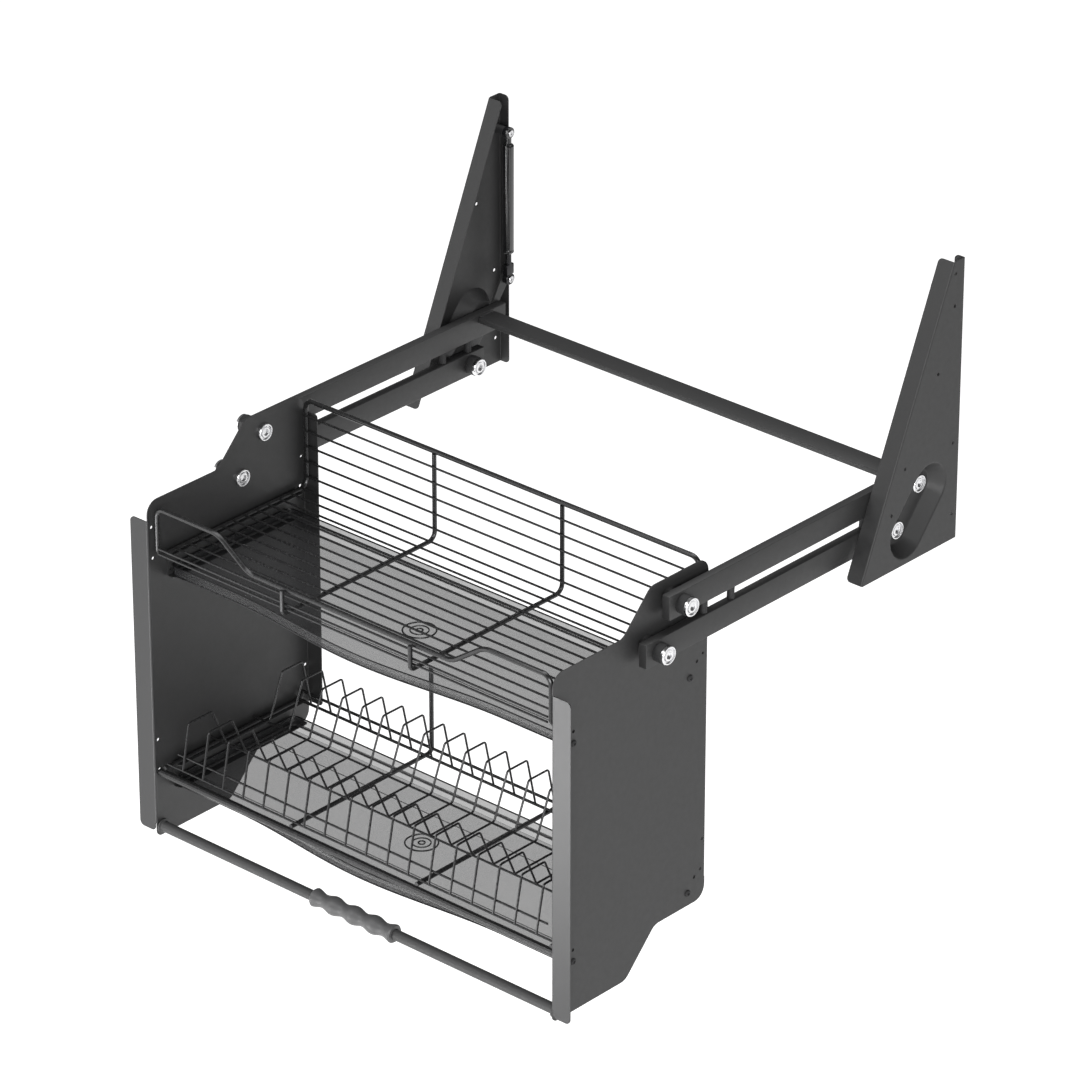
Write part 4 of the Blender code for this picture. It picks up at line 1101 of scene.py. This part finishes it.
@dataclass
class SidePanel(SidePart):
    """One side of the hanging carriage, with its folded strip and flange.

    Shoulder and heel are the ends of the outline's two slopes, flange and strip their bottom
    and top, screw the profile of a bracket screw, and the heights of holes and screws are
    over the floor of each basket.
    """

    front: float = -0.69775
    rear: float = -0.41975
    shoulder: tuple = ((-0.574, 0.066), (-0.524, 0.117))
    heel: tuple = ((-0.512, -0.351), (-0.566, -0.406))
    corner: float = 0.018
    toe: float = 0.008
    flange: tuple = (-0.322, 0.094)
    flange_width: float = 0.0247
    flange_corner: float = 0.005
    strip: tuple = (-0.398, 0.040)
    strip_edge: float = 0.3643
    strip_corner: float = 0.007
    strip_foot: float = 0.011
    strip_lip: float = 0.0006
    boss: float = 0.0142
    boss_edge: float = 0.0006
    boss_rise: float = 0.0012
    boss_sunk: float = 0.0005
    screw_hole: float = 0.0023
    screw: tuple = ((0.0022, 0.3332), (0.0022, 0.3361), (0.0046, 0.3361), (0.0046, 0.3368),
                    (0.0040, 0.3378), (0.0026, 0.3383), (0.0019, 0.3381), (0.0016, 0.3370),
                    (0, 0.3370))
    holes: tuple = ((-0.691, 0.039), (-0.690, -0.004), (-0.6615, -0.013), (-0.439, -0.008),
                    (-0.428, -0.001), (-0.425, 0.040))
    screws: tuple = ((-0.6615, -0.029), (-0.4515, -0.026))

    def build(self) -> None:
        """Build the panel with its bosses, the strip and the bracket screws."""
        front, rear = self.front, self.rear
        (low_y, low_top), (high_y, high_top) = self.shoulder
        (heel_y, heel), (toe_y, bottom) = self.heel
        flange_foot, flange_top = self.flange
        inner_rear = rear - Sheet.SETBACK
        inner_front = front + Sheet.SETBACK + self.strip_lip
        foot, strip_top = self.strip[0] + self.strip_foot, self.strip[1]
        outline = [
            *arcs([(front, 0), (front, low_top), (low_y, low_top), (high_y, high_top),
                   (rear, high_top), (rear, 0)], self.corner),
            (rear, flange_top), (inner_rear, flange_top),
            (inner_rear, flange_foot), (rear, flange_foot),
            *arcs([(rear, 0), (rear, heel), (heel_y, heel), (toe_y, bottom), (front, bottom)],
                  self.corner),
            *arcs([(toe_y, bottom), (front, bottom), (front, 0)], self.toe),
            (front, foot), (inner_front, foot), (inner_front, strip_top), (front, strip_top)]
        rings = [circle(arm.front, SHAFT_HOLE, 24) for arm in Arm]
        rings += [circle((y, level.value + rise), self.screw_hole, 14)
                  for level in Level for y, rise in self.holes + self.screws]
        web = sum(PANEL_X) / 2
        sheet = Sheet(outline, rings, side_frame(self.sign * web))
        sheet.fold((inner_rear, flange_foot), (inner_rear, flange_top), Vector((0, 1, 0)),
                   Vector((-self.sign, 0, 0)), self.flange_width, self.flange_corner)
        shape = sheet.thicken(STEEL)
        face, tip = PANEL_X[1], ARM_X[0] - SEAT
        section = rounded([(SLEEVE_BORE, tip), (SLEEVE, tip), (SLEEVE, face + self.boss_rise),
                           (self.boss, face), (self.boss, face - self.boss_sunk)],
                          self.boss_edge, steps=2)
        for arm in Arm:
            shape.turned(section, outward(self.side, *arm.front))
        self.dress(shape, "panel_sheet", COATED, Body.CARRIAGE, "side_panel")
        self._strip(web + Sheet.SETBACK, foot)
        heads = Shape()
        for level in Level:
            for y, rise in self.screws:
                heads.turned(self.screw, outward(self.side, y, level.value + rise), 24)
        self.dress(heads, "bracket_screws", RUBBER, Body.CARRIAGE)

    def _strip(self, inner: float, foot: float) -> None:
        """Build the front strip, which bends back to meet the panel.

        Args:
            inner: Distance of its bend from the middle plane.
            foot: Height at which its lower inner corner starts to curve.
        """
        low, high = self.strip
        tip = self.strip_edge
        outline = [(inner, foot), *arcs([(inner, foot), (inner, low), (tip, low)], self.strip_foot),
                   *arcs([(inner, low), (tip, low), (tip, high), (inner, high)], self.strip_corner),
                   (inner, high)]
        stand = Matrix(((self.sign, 0, 0, 0), (0, 0, 1, self.front), (0, 1, 0, 0), (0, 0, 0, 1)))
        sheet = Sheet(outline, [], stand)
        sheet.fold((inner, foot), (inner, high), Vector((-self.sign, 0, 0)), Vector((0, 1, 0)),
                   Sheet.SETBACK + self.strip_lip)
        # The strip wears the panel's coat with painted light: a lighter colour for the light it
        # reflects.
        self.dress(sheet.thicken(STEEL), "front_strip", STRIP_PAINTED_LIGHT, Body.CARRIAGE)


@dataclass
class Bracket(SidePart):
    """One channel inside a panel that carries a basket and a drip tray."""

    level: Level
    front: float = -0.667
    rear: float = -0.436
    sheet: float = 0.0012
    ledge: float = 0.0129
    ledge_corner: float = 0.004
    screw_hole: float = 0.0024

    def build(self) -> None:
        """Build the channel from its web and two folded ledges."""
        floor = self.level.value
        play = SEAT + self.sheet / 2
        low = floor - DripTray.drop - play + Sheet.SETBACK
        high = floor - UpperBasket.rim - play - Sheet.SETBACK
        outline = [(self.front, low), (self.rear, low), (self.rear, high), (self.front, high)]
        rings = [circle((y, floor + rise), self.screw_hole, 14) for y, rise in SidePanel.screws]
        sheet = Sheet(outline, rings, side_frame(self.sign * (PANEL_X[0] - play)))
        lift = Vector((-self.sign, 0, 0))
        for z, way in ((high, 1), (low, -1)):
            sheet.fold((self.front, z), (self.rear, z), Vector((0, 0, way)), lift, self.ledge,
                       self.ledge_corner)
        word = self.level.word
        self.dress(sheet.thicken(self.sheet), f"{word}_channel", COATED, Body.CARRIAGE,
                   f"{word}_bracket")


@dataclass
class Basket:
    """What the two baskets share."""

    side: float = 0.326
    front: float = -0.6895
    back: float = -0.4243
    rise: float = 0.1216
    rod: float = 0.003
    wire: float = 0.0015
    rods: tuple = (-0.106, 0.106)


@dataclass
class UpperBasket(Basket):
    """The bowl and cup basket: bent rim, support rods and thin wires.

    The wires at the rear, the floor and the hooks are given by count, first place and pitch.
    """

    floor: float = Level.UPPER.value
    rim: float = 0.00325
    front_rise: float = 0.068
    dip: float = 0.036
    dip_ends: tuple = (0.168, 0.220)
    dip_bend: float = 0.034
    rim_bend: float = 0.013
    turn_in: float = 0.030
    rod_bend: float = 0.012
    hook_bend: float = 0.007
    hook_rise: float = 0.033
    rear_wires: tuple = (5, 0.0165, 0.0212)
    floor_wires: tuple = (12, 0.0147, 0.02035)
    hook_wires: tuple = (2, 0.007, 0.007)

    def build(self) -> None:
        """Build the rim and the welded grid."""
        high = self.floor + self.front_rise
        top = self.floor + self.rise
        side, front, back = self.side, self.front, self.back
        turn = (side - self.turn_in, front, high)
        half = arcs([(0, front, high - self.dip), (self.dip_ends[0], front, high - self.dip),
                     (self.dip_ends[1], front, high), turn], self.dip_bend, 8)
        half += arcs([turn, (side, front, high), (side, front, self.floor),
                      (side, back, self.floor), (side, back, top), (0, back, top)],
                     self.rim_bend, 8)
        loop = half + [Vector((-x, y, z)) for x, y, z in reversed(half)]
        Shape().tube([loop], self.rim, closed=True).piece(
            "basket_rim_rod", WIRE, Body.CARRIAGE, "upper_basket_rim")
        hook = front - self.rim - self.rod - SEAT
        rods = []
        for x in self.rods:
            path = [(x, back, top - self.rim - SEAT), (x, back, self.floor),
                    (x, hook, self.floor), (x, hook, self.floor + self.hook_rise)]
            rods.append([Vector(path[0]), *arcs(path[:3], self.rod_bend, 8),
                         *arcs(path[1:], self.hook_bend, 8), Vector(path[3])])
        reach = self.rod + self.wire - WELD
        lines = [(back - reach, self.floor + z) for z in self._spaced(*self.rear_wires)]
        lines += [(back - y, self.floor + reach) for y in self._spaced(*self.floor_wires)]
        lines += [(hook + reach, self.floor + z) for z in self._spaced(*self.hook_wires)]
        end = side - self.rim - SEAT
        grid = Shape().tube(rods, self.rod)
        grid.tube([across(end, y, z) for y, z in lines], self.wire, fineness=3)
        grid.piece("basket_wires", WIRE, Body.CARRIAGE, "upper_basket_grid")

    def _spaced(self, count: int, first: float, pitch: float) -> list[float]:
        """Return the places of evenly spaced wires."""
        return [first + index * pitch for index in range(count)]


@dataclass
class LowerBasket(Basket):
    """The lower frame and the plate rack that stands on it.

    A plate loop goes back and up by its steps from where it starts.
    """

    floor: float = Level.LOWER.value
    end: float = 0.3342
    bar: float = 0.005
    bar_drop: float = 0.0075
    rail: float = 0.002
    rail_rise: float = 0.0085
    upright_gap: float = 0.006
    upright_bend: float = 0.008
    side_bend: float = 0.006
    loops: int = 18
    pitch: float = 0.0351
    loop_wire: float = 0.00145
    loop_bend: float = 0.0045
    loop_start: float = -0.685
    loop_steps: tuple = ((0.013, 0.063), (0.041, 0), (0.024, -0.0545), (0.078, 0),
                         (0.025, 0.061), (0.036, 0), (0.0155, -0.0695))
    front_wire: float = 0.0165
    front_reach: float = 0.013

    def build(self) -> None:
        """Build the frame and the rack."""
        self._frame()
        self._rack()

    def _frame(self) -> None:
        """Build the front bar, rear rail, side rods and support rods."""
        upright = self.back - self.rod - self.upright_gap
        rail_y = upright - self.rod - self.rail + WELD
        rail_z = self.floor + self.rail_rise
        rods = [rounded([(x, upright, self.floor + self.rise), (x, upright, self.floor),
                         (x, self.front, self.floor)], self.upright_bend, steps=8)
                for x in self.rods]
        rods += [rounded([(x, rail_y, rail_z), (x, rail_y - self.rail_rise, self.floor),
                          (x, self.front, self.floor)], self.side_bend)
                 for x in (-self.side, self.side)]
        frame = Shape().tube(rods, self.rod)
        frame.tube([across(self.end, self.front, self.floor - self.bar_drop)], self.bar)
        frame.tube([across(self.end, rail_y, rail_z)], self.rail)
        frame.piece("lower_frame_rods", WIRE, Body.CARRIAGE, "lower_basket_frame")

    def _rack(self) -> None:
        """Build the plate loops and the wires that hold them."""
        seat = self.floor + self.rod + SEAT
        outline = [(self.loop_start, seat + self.wire)]
        for run, rise in self.loop_steps:
            outline.append((outline[-1][0] + run, outline[-1][1] + rise))
        first = self.pitch * (self.loops - 1) / 2
        loops = [rounded([(index * self.pitch - first, y, z) for y, z in outline],
                         self.loop_bend, steps=5) for index in range(self.loops)]
        rack = Shape().tube(loops, self.loop_wire, fineness=3)
        under = self.loop_wire + self.wire - WELD
        (foot_y, foot_z), (top_y, top_z) = outline[:2]
        lean = (top_y - foot_y) / (top_z - foot_z)
        (valley_start, valley), (valley_end, _) = outline[3:5]
        lines = [
            across(self.side, foot_y, foot_z),
            across(first + self.front_reach, foot_y + lean * self.front_wire
                   + under * math.hypot(1, lean), foot_z + self.front_wire),
            across(self.side, valley_start + self.wire, valley - under),
            across(self.side, valley_end - self.wire, valley - under)]
        rack.tube(lines, self.wire, fineness=3)
        rack.tube([across(self.side, outline[-1][0], seat + self.rail)], self.rail)
        rack.piece("plate_loops", WIRE, Body.CARRIAGE, "plate_rack")


@dataclass
class DripTray:
    """One shallow see-through tray with a bowed front.

    The drain's rings are given by radius and by the radius of their bead.
    """

    level: Level
    half: float = 0.3318
    rear: float = -0.451
    front: float = -0.665
    corner: float = 0.010
    least_corner: float = 0.003
    bulge: float = 0.017
    bow_half: float = 0.230
    bow_steps: int = 40
    drop: float = 0.0355
    wall: float = 0.0135
    sheet: float = 0.001
    draft: float = 0.0005
    floor_inset: float = 0.012
    floor_bend: float = 0.003
    fillet: float = 0.0022
    creases: tuple = (-0.508, -0.631)
    crease: float = 0.0007
    bead: float = 0.0010
    drain: tuple = ((0.021, 0.0011), (0.0117, 0.0009), (0.0042, 0.0010))

    def build(self) -> None:
        """Build the wall, the floor with its creases, and the edges with the drain rings."""
        under = self.level.value - self.drop
        top = under + self.wall
        face = under + self.sheet
        inset, middle = self.sheet / 2, under + self.sheet / 2
        section = rounded([(inset, top), (inset + self.draft, middle),
                           (inset + self.floor_inset, middle)], self.floor_bend, steps=5)
        rings = [lifted(self._outline(point.x), point.y) for point in section]
        word = self.level.word
        body = Body(f"{word}_tray")
        wall = Sheet()
        wall.dish(rings)
        wall.thicken(self.sheet).piece(f"{word}_tray_wall", WALL, body)
        floor = Sheet()
        floor.dish(rings[-1:], [])
        pan = floor.thicken(self.sheet)
        pan.tube([across(self.half - self.floor_inset, y, face) for y in self.creases],
                 self.crease, fineness=1)
        pan.tube([lifted(self._outline(self.sheet + self.fillet), face + self.fillet)],
                 self.fillet, closed=True)
        pan.piece(f"{word}_tray_pan", SMOKE, body, f"{word}_drip_tray")
        drain_y = (self.rear + self.front - self.bulge) / 2
        lines = [(self._outline(inset), top, self.bead),
                 (self._outline(self.sheet), face, self.bead)]
        lines += [(circle((0, drain_y), radius, 48), face, wire) for radius, wire in self.drain]
        edges = Shape()
        for ring, height, wire in lines:
            edges.tube([lifted(ring, height)], wire, closed=True, fineness=2)
        edges.piece(f"{word}_tray_edges", EDGE, body)

    def _outline(self, inset: float) -> Path:
        """Return the tray's outline with its bowed front.

        Args:
            inset: How far it is drawn in.

        Returns:
            The outline as flat points.
        """
        half, rear, front = self.half - inset, self.rear - inset, self.front + inset
        box = [(-half, front), (half, front), (half, rear), (-half, rear)]
        steps = 5
        ring = rounded(box, max(self.corner - inset, self.least_corner), closed=True, steps=steps)
        bow = []
        for step in range(1, self.bow_steps):
            share = step / self.bow_steps
            swell = self.bulge * (1 - math.cos(math.tau * share)) / 2
            bow.append(Vector((self.bow_half * (2 * share - 1), front - swell, 0)))
        return ring[:steps + 1] + bow + ring[steps + 1:]


@dataclass
class Handle:
    """The pull bar and the contoured grip round its middle."""

    y: float = -0.688
    z: float = -0.3935
    radius: float = 0.007
    half: float = 0.3342
    collar: float = 0.010
    collar_width: float = 0.0025
    shoulder: tuple = (0.0078, 0.0016)
    edge: float = 0.0006
    grip_half: float = 0.068
    grip_radius: float = 0.0107
    grip_swing: float = 0.0017
    grip_bulges: int = 4
    grip_steps: int = 72
    grip_edge: float = 0.0015
    grip_play: float = 0.0003

    def build(self) -> None:
        """Build the bar and the grip."""
        matrix = outward(Side.RIGHT, self.y, self.z)
        neck = self.half - self.collar_width
        right = [(0, self.half), (self.collar - self.edge, self.half),
                 (self.collar, self.half - self.edge), (self.collar, neck),
                 (self.shoulder[0], neck - self.edge), (self.radius, neck - self.shoulder[1])]
        left = [(radius, -height) for radius, height in reversed(right)]
        Shape().turned(right + left, matrix).piece("pull_bar", BAR, Body.CARRIAGE, "handle_bar")
        bore = self.radius + self.grip_play
        profile = [(bore, self.grip_half), *self._grip_line(), (bore, -self.grip_half)]
        Shape().turned(profile, matrix, 48).piece(
            "contoured_grip", GRIP, Body.CARRIAGE, "handle_grip")

    def _grip_line(self) -> list[tuple[float, float]]:
        """Draw the grip's outside, waisted for the fingers and rounded at both ends.

        Returns:
            Its points as radius and height.
        """
        line = []
        for step in range(self.grip_steps + 1):
            share = step / self.grip_steps
            radius = self.grip_radius + self.grip_swing * math.cos(
                math.tau * self.grip_bulges * share)
            edge = min(share, 1 - share) * 2 * self.grip_half
            if edge < self.grip_edge:
                radius -= self.grip_edge - math.sqrt(
                    max(0.0, self.grip_edge ** 2 - (self.grip_edge - edge) ** 2))
            line.append((radius, self.grip_half * (1 - 2 * share)))
        return line


@dataclass
class CrossBar:
    """The flat bar between the upper arms and the weld beads at its ends."""

    front: float = -0.084
    rear: float = -0.053
    thickness: float = 0.0075
    drop: float = 0.0035
    edge: float = 0.0012
    bead: float = 0.0011
    bead_start: float = -0.081
    bead_step: float = 0.0005
    bead_wave: float = 0.00025
    bead_beat: float = 1.9
    bead_steps: int = 50
    bead_seat: float = 0.0004

    def build(self) -> None:
        """Build the bar and its beads."""
        end = ARM_X[0] - SEAT
        top = Arm.UPPER.value[1] + ARM_HEIGHT / 2 - self.drop
        bottom = top - self.thickness
        shape = Shape().block((-end, self.front, bottom), (end, self.rear, top), self.edge)
        for sign in (-1, 1):
            for z in (top + self.bead_seat, bottom - self.bead_seat):
                bead = [Vector((sign * (end - WELD), self.bead_start + self.bead_step * step,
                                z + self.bead_wave * math.sin(step * self.bead_beat)))
                        for step in range(self.bead_steps + 1)]
                shape.tube([bead], self.bead, fineness=2)
        shape.piece("arm_tie_bar", COATED, Body.ARMS, "cross_bar")


# Stage


@dataclass(frozen=True)
class Lamp:
    """One soft lamp: where it hangs, what it faces, how large it is and its power in watts."""

    name: str
    spot: tuple[float, float, float]
    size: tuple[float, float]
    power: float
    target: tuple[float, float, float] = (0, -0.4, -0.1)

    def build(self) -> None:
        """Hang the lamp."""
        data = bpy.data.lights.new(self.name, "AREA")
        data.shape = "RECTANGLE"
        data.size, data.size_y = self.size
        data.energy = self.power
        lamp = placed(self.name, data)
        lamp.location = self.spot
        aim = Vector(self.target) - Vector(self.spot)
        lamp.rotation_euler = aim.to_track_quat("-Z", "Y").to_euler()


@dataclass(frozen=True)
class Studio:
    """Camera, floor and lamps. The card is what the right front strip reflects."""

    location: tuple = (4.566583, -5.422625, 3.485179)
    azimuth: float = 0.7326437
    elevation: float = 0.4723984
    lens: float = 206.14151
    floor: float = -1.30
    floor_half: float = 30
    floor_grey: float = 0.70
    floor_glow: float = 0.90
    sky: float = 0.13
    lamps: tuple = (Lamp("key", (-1.6, -3.6, 3.2), (2.2, 2.2), 62.0),
                    Lamp("fill", (3.4, -3.8, 1.4), (2.0, 2.0), 142.0),
                    Lamp("left", (-2.8, -3.2, 0.2), (2.0, 2.0), 22.0),
                    Lamp("top", (-0.4, 0.9, 4.0), (2.4, 2.4), 75.0),
                    Lamp("card", (-0.60, -1.86, -0.80), (0.45, 0.50), 6.5, (0.35, -0.698, -0.15)))

    def build(self) -> None:
        """Build the camera, the floor, the world and the lamps."""
        self._camera()
        self._floor()
        self._world()
        for lamp in self.lamps:
            lamp.build()
        bpy.context.scene.view_settings.view_transform = "Standard"

    def _camera(self) -> None:
        """Stand the camera where the photograph was taken from."""
        data = bpy.data.cameras.new("camera")
        data.sensor_width = 36.0
        data.lens = self.lens
        data.clip_end = 60.0
        camera = placed("camera", data)
        camera.location = self.location
        camera.rotation_euler = (math.pi / 2 - self.elevation, 0, self.azimuth)
        bpy.context.scene.camera = camera

    def _floor(self) -> None:
        """Lay a floor far below the rack that the camera sees white, also in metal."""
        bm = bmesh.new()
        bmesh.ops.create_grid(bm, x_segments=1, y_segments=1, size=self.floor_half,
                              matrix=Matrix.Translation((0, 0, self.floor)))
        mesh = bpy.data.meshes.new("floor")
        bm.to_mesh(mesh)
        bm.free()
        floor = placed("floor", mesh)
        material = bpy.data.materials.new("white_floor")
        mesh.materials.append(material)
        graph = Graph(material, "Principled BSDF")
        graph.set(Base_Color=(*[self.floor_grey] * 3, 1), Roughness=0.9)
        camera, glossy, clear = graph.rays("Camera", "Glossy", "Transmission")
        seen = 1 - (1 - camera) * (1 - glossy) * (1 - clear)
        plain = graph.shader.outputs[0]
        glow = graph.node("ShaderNodeEmission", {
            "Color": (1, 1, 1, 1), "Strength": self.floor_glow})
        both = graph.node("ShaderNodeAddShader", {0: plain, 1: glow.outputs[0]})
        mixed = graph.node("ShaderNodeMixShader", {0: seen, 1: plain, 2: both.outputs[0]})
        graph.feed(graph.tree.nodes["Material Output"].inputs["Surface"], mixed.outputs[0])

    def _world(self) -> None:
        """Surround the scene with white, soft on the rack and full for the camera."""
        world = bpy.data.worlds.new("studio")
        bpy.context.scene.world = world
        graph = Graph(world, "Background")
        camera, = graph.rays("Camera")
        graph.set(Color=(1, 1, 1, 1), Strength=self.sky + camera * (1 - self.sky))


def main() -> None:
    """Build the dressed rack over its frame."""
    logging.basicConfig(level=logging.INFO, format="%(name)s: %(message)s")
    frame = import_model()
    Studio().build()
    for side in Side:
        for part in (Housing, Linkage, GasStrut, SidePanel):
            part(side).build()
        for level in Level:
            Bracket(side, level).build()
    CrossBar().build()
    UpperBasket().build()
    LowerBasket().build()
    for level in Level:
        DripTray(level).build()
    Handle().build()


if __name__ == "__main__":
    main()
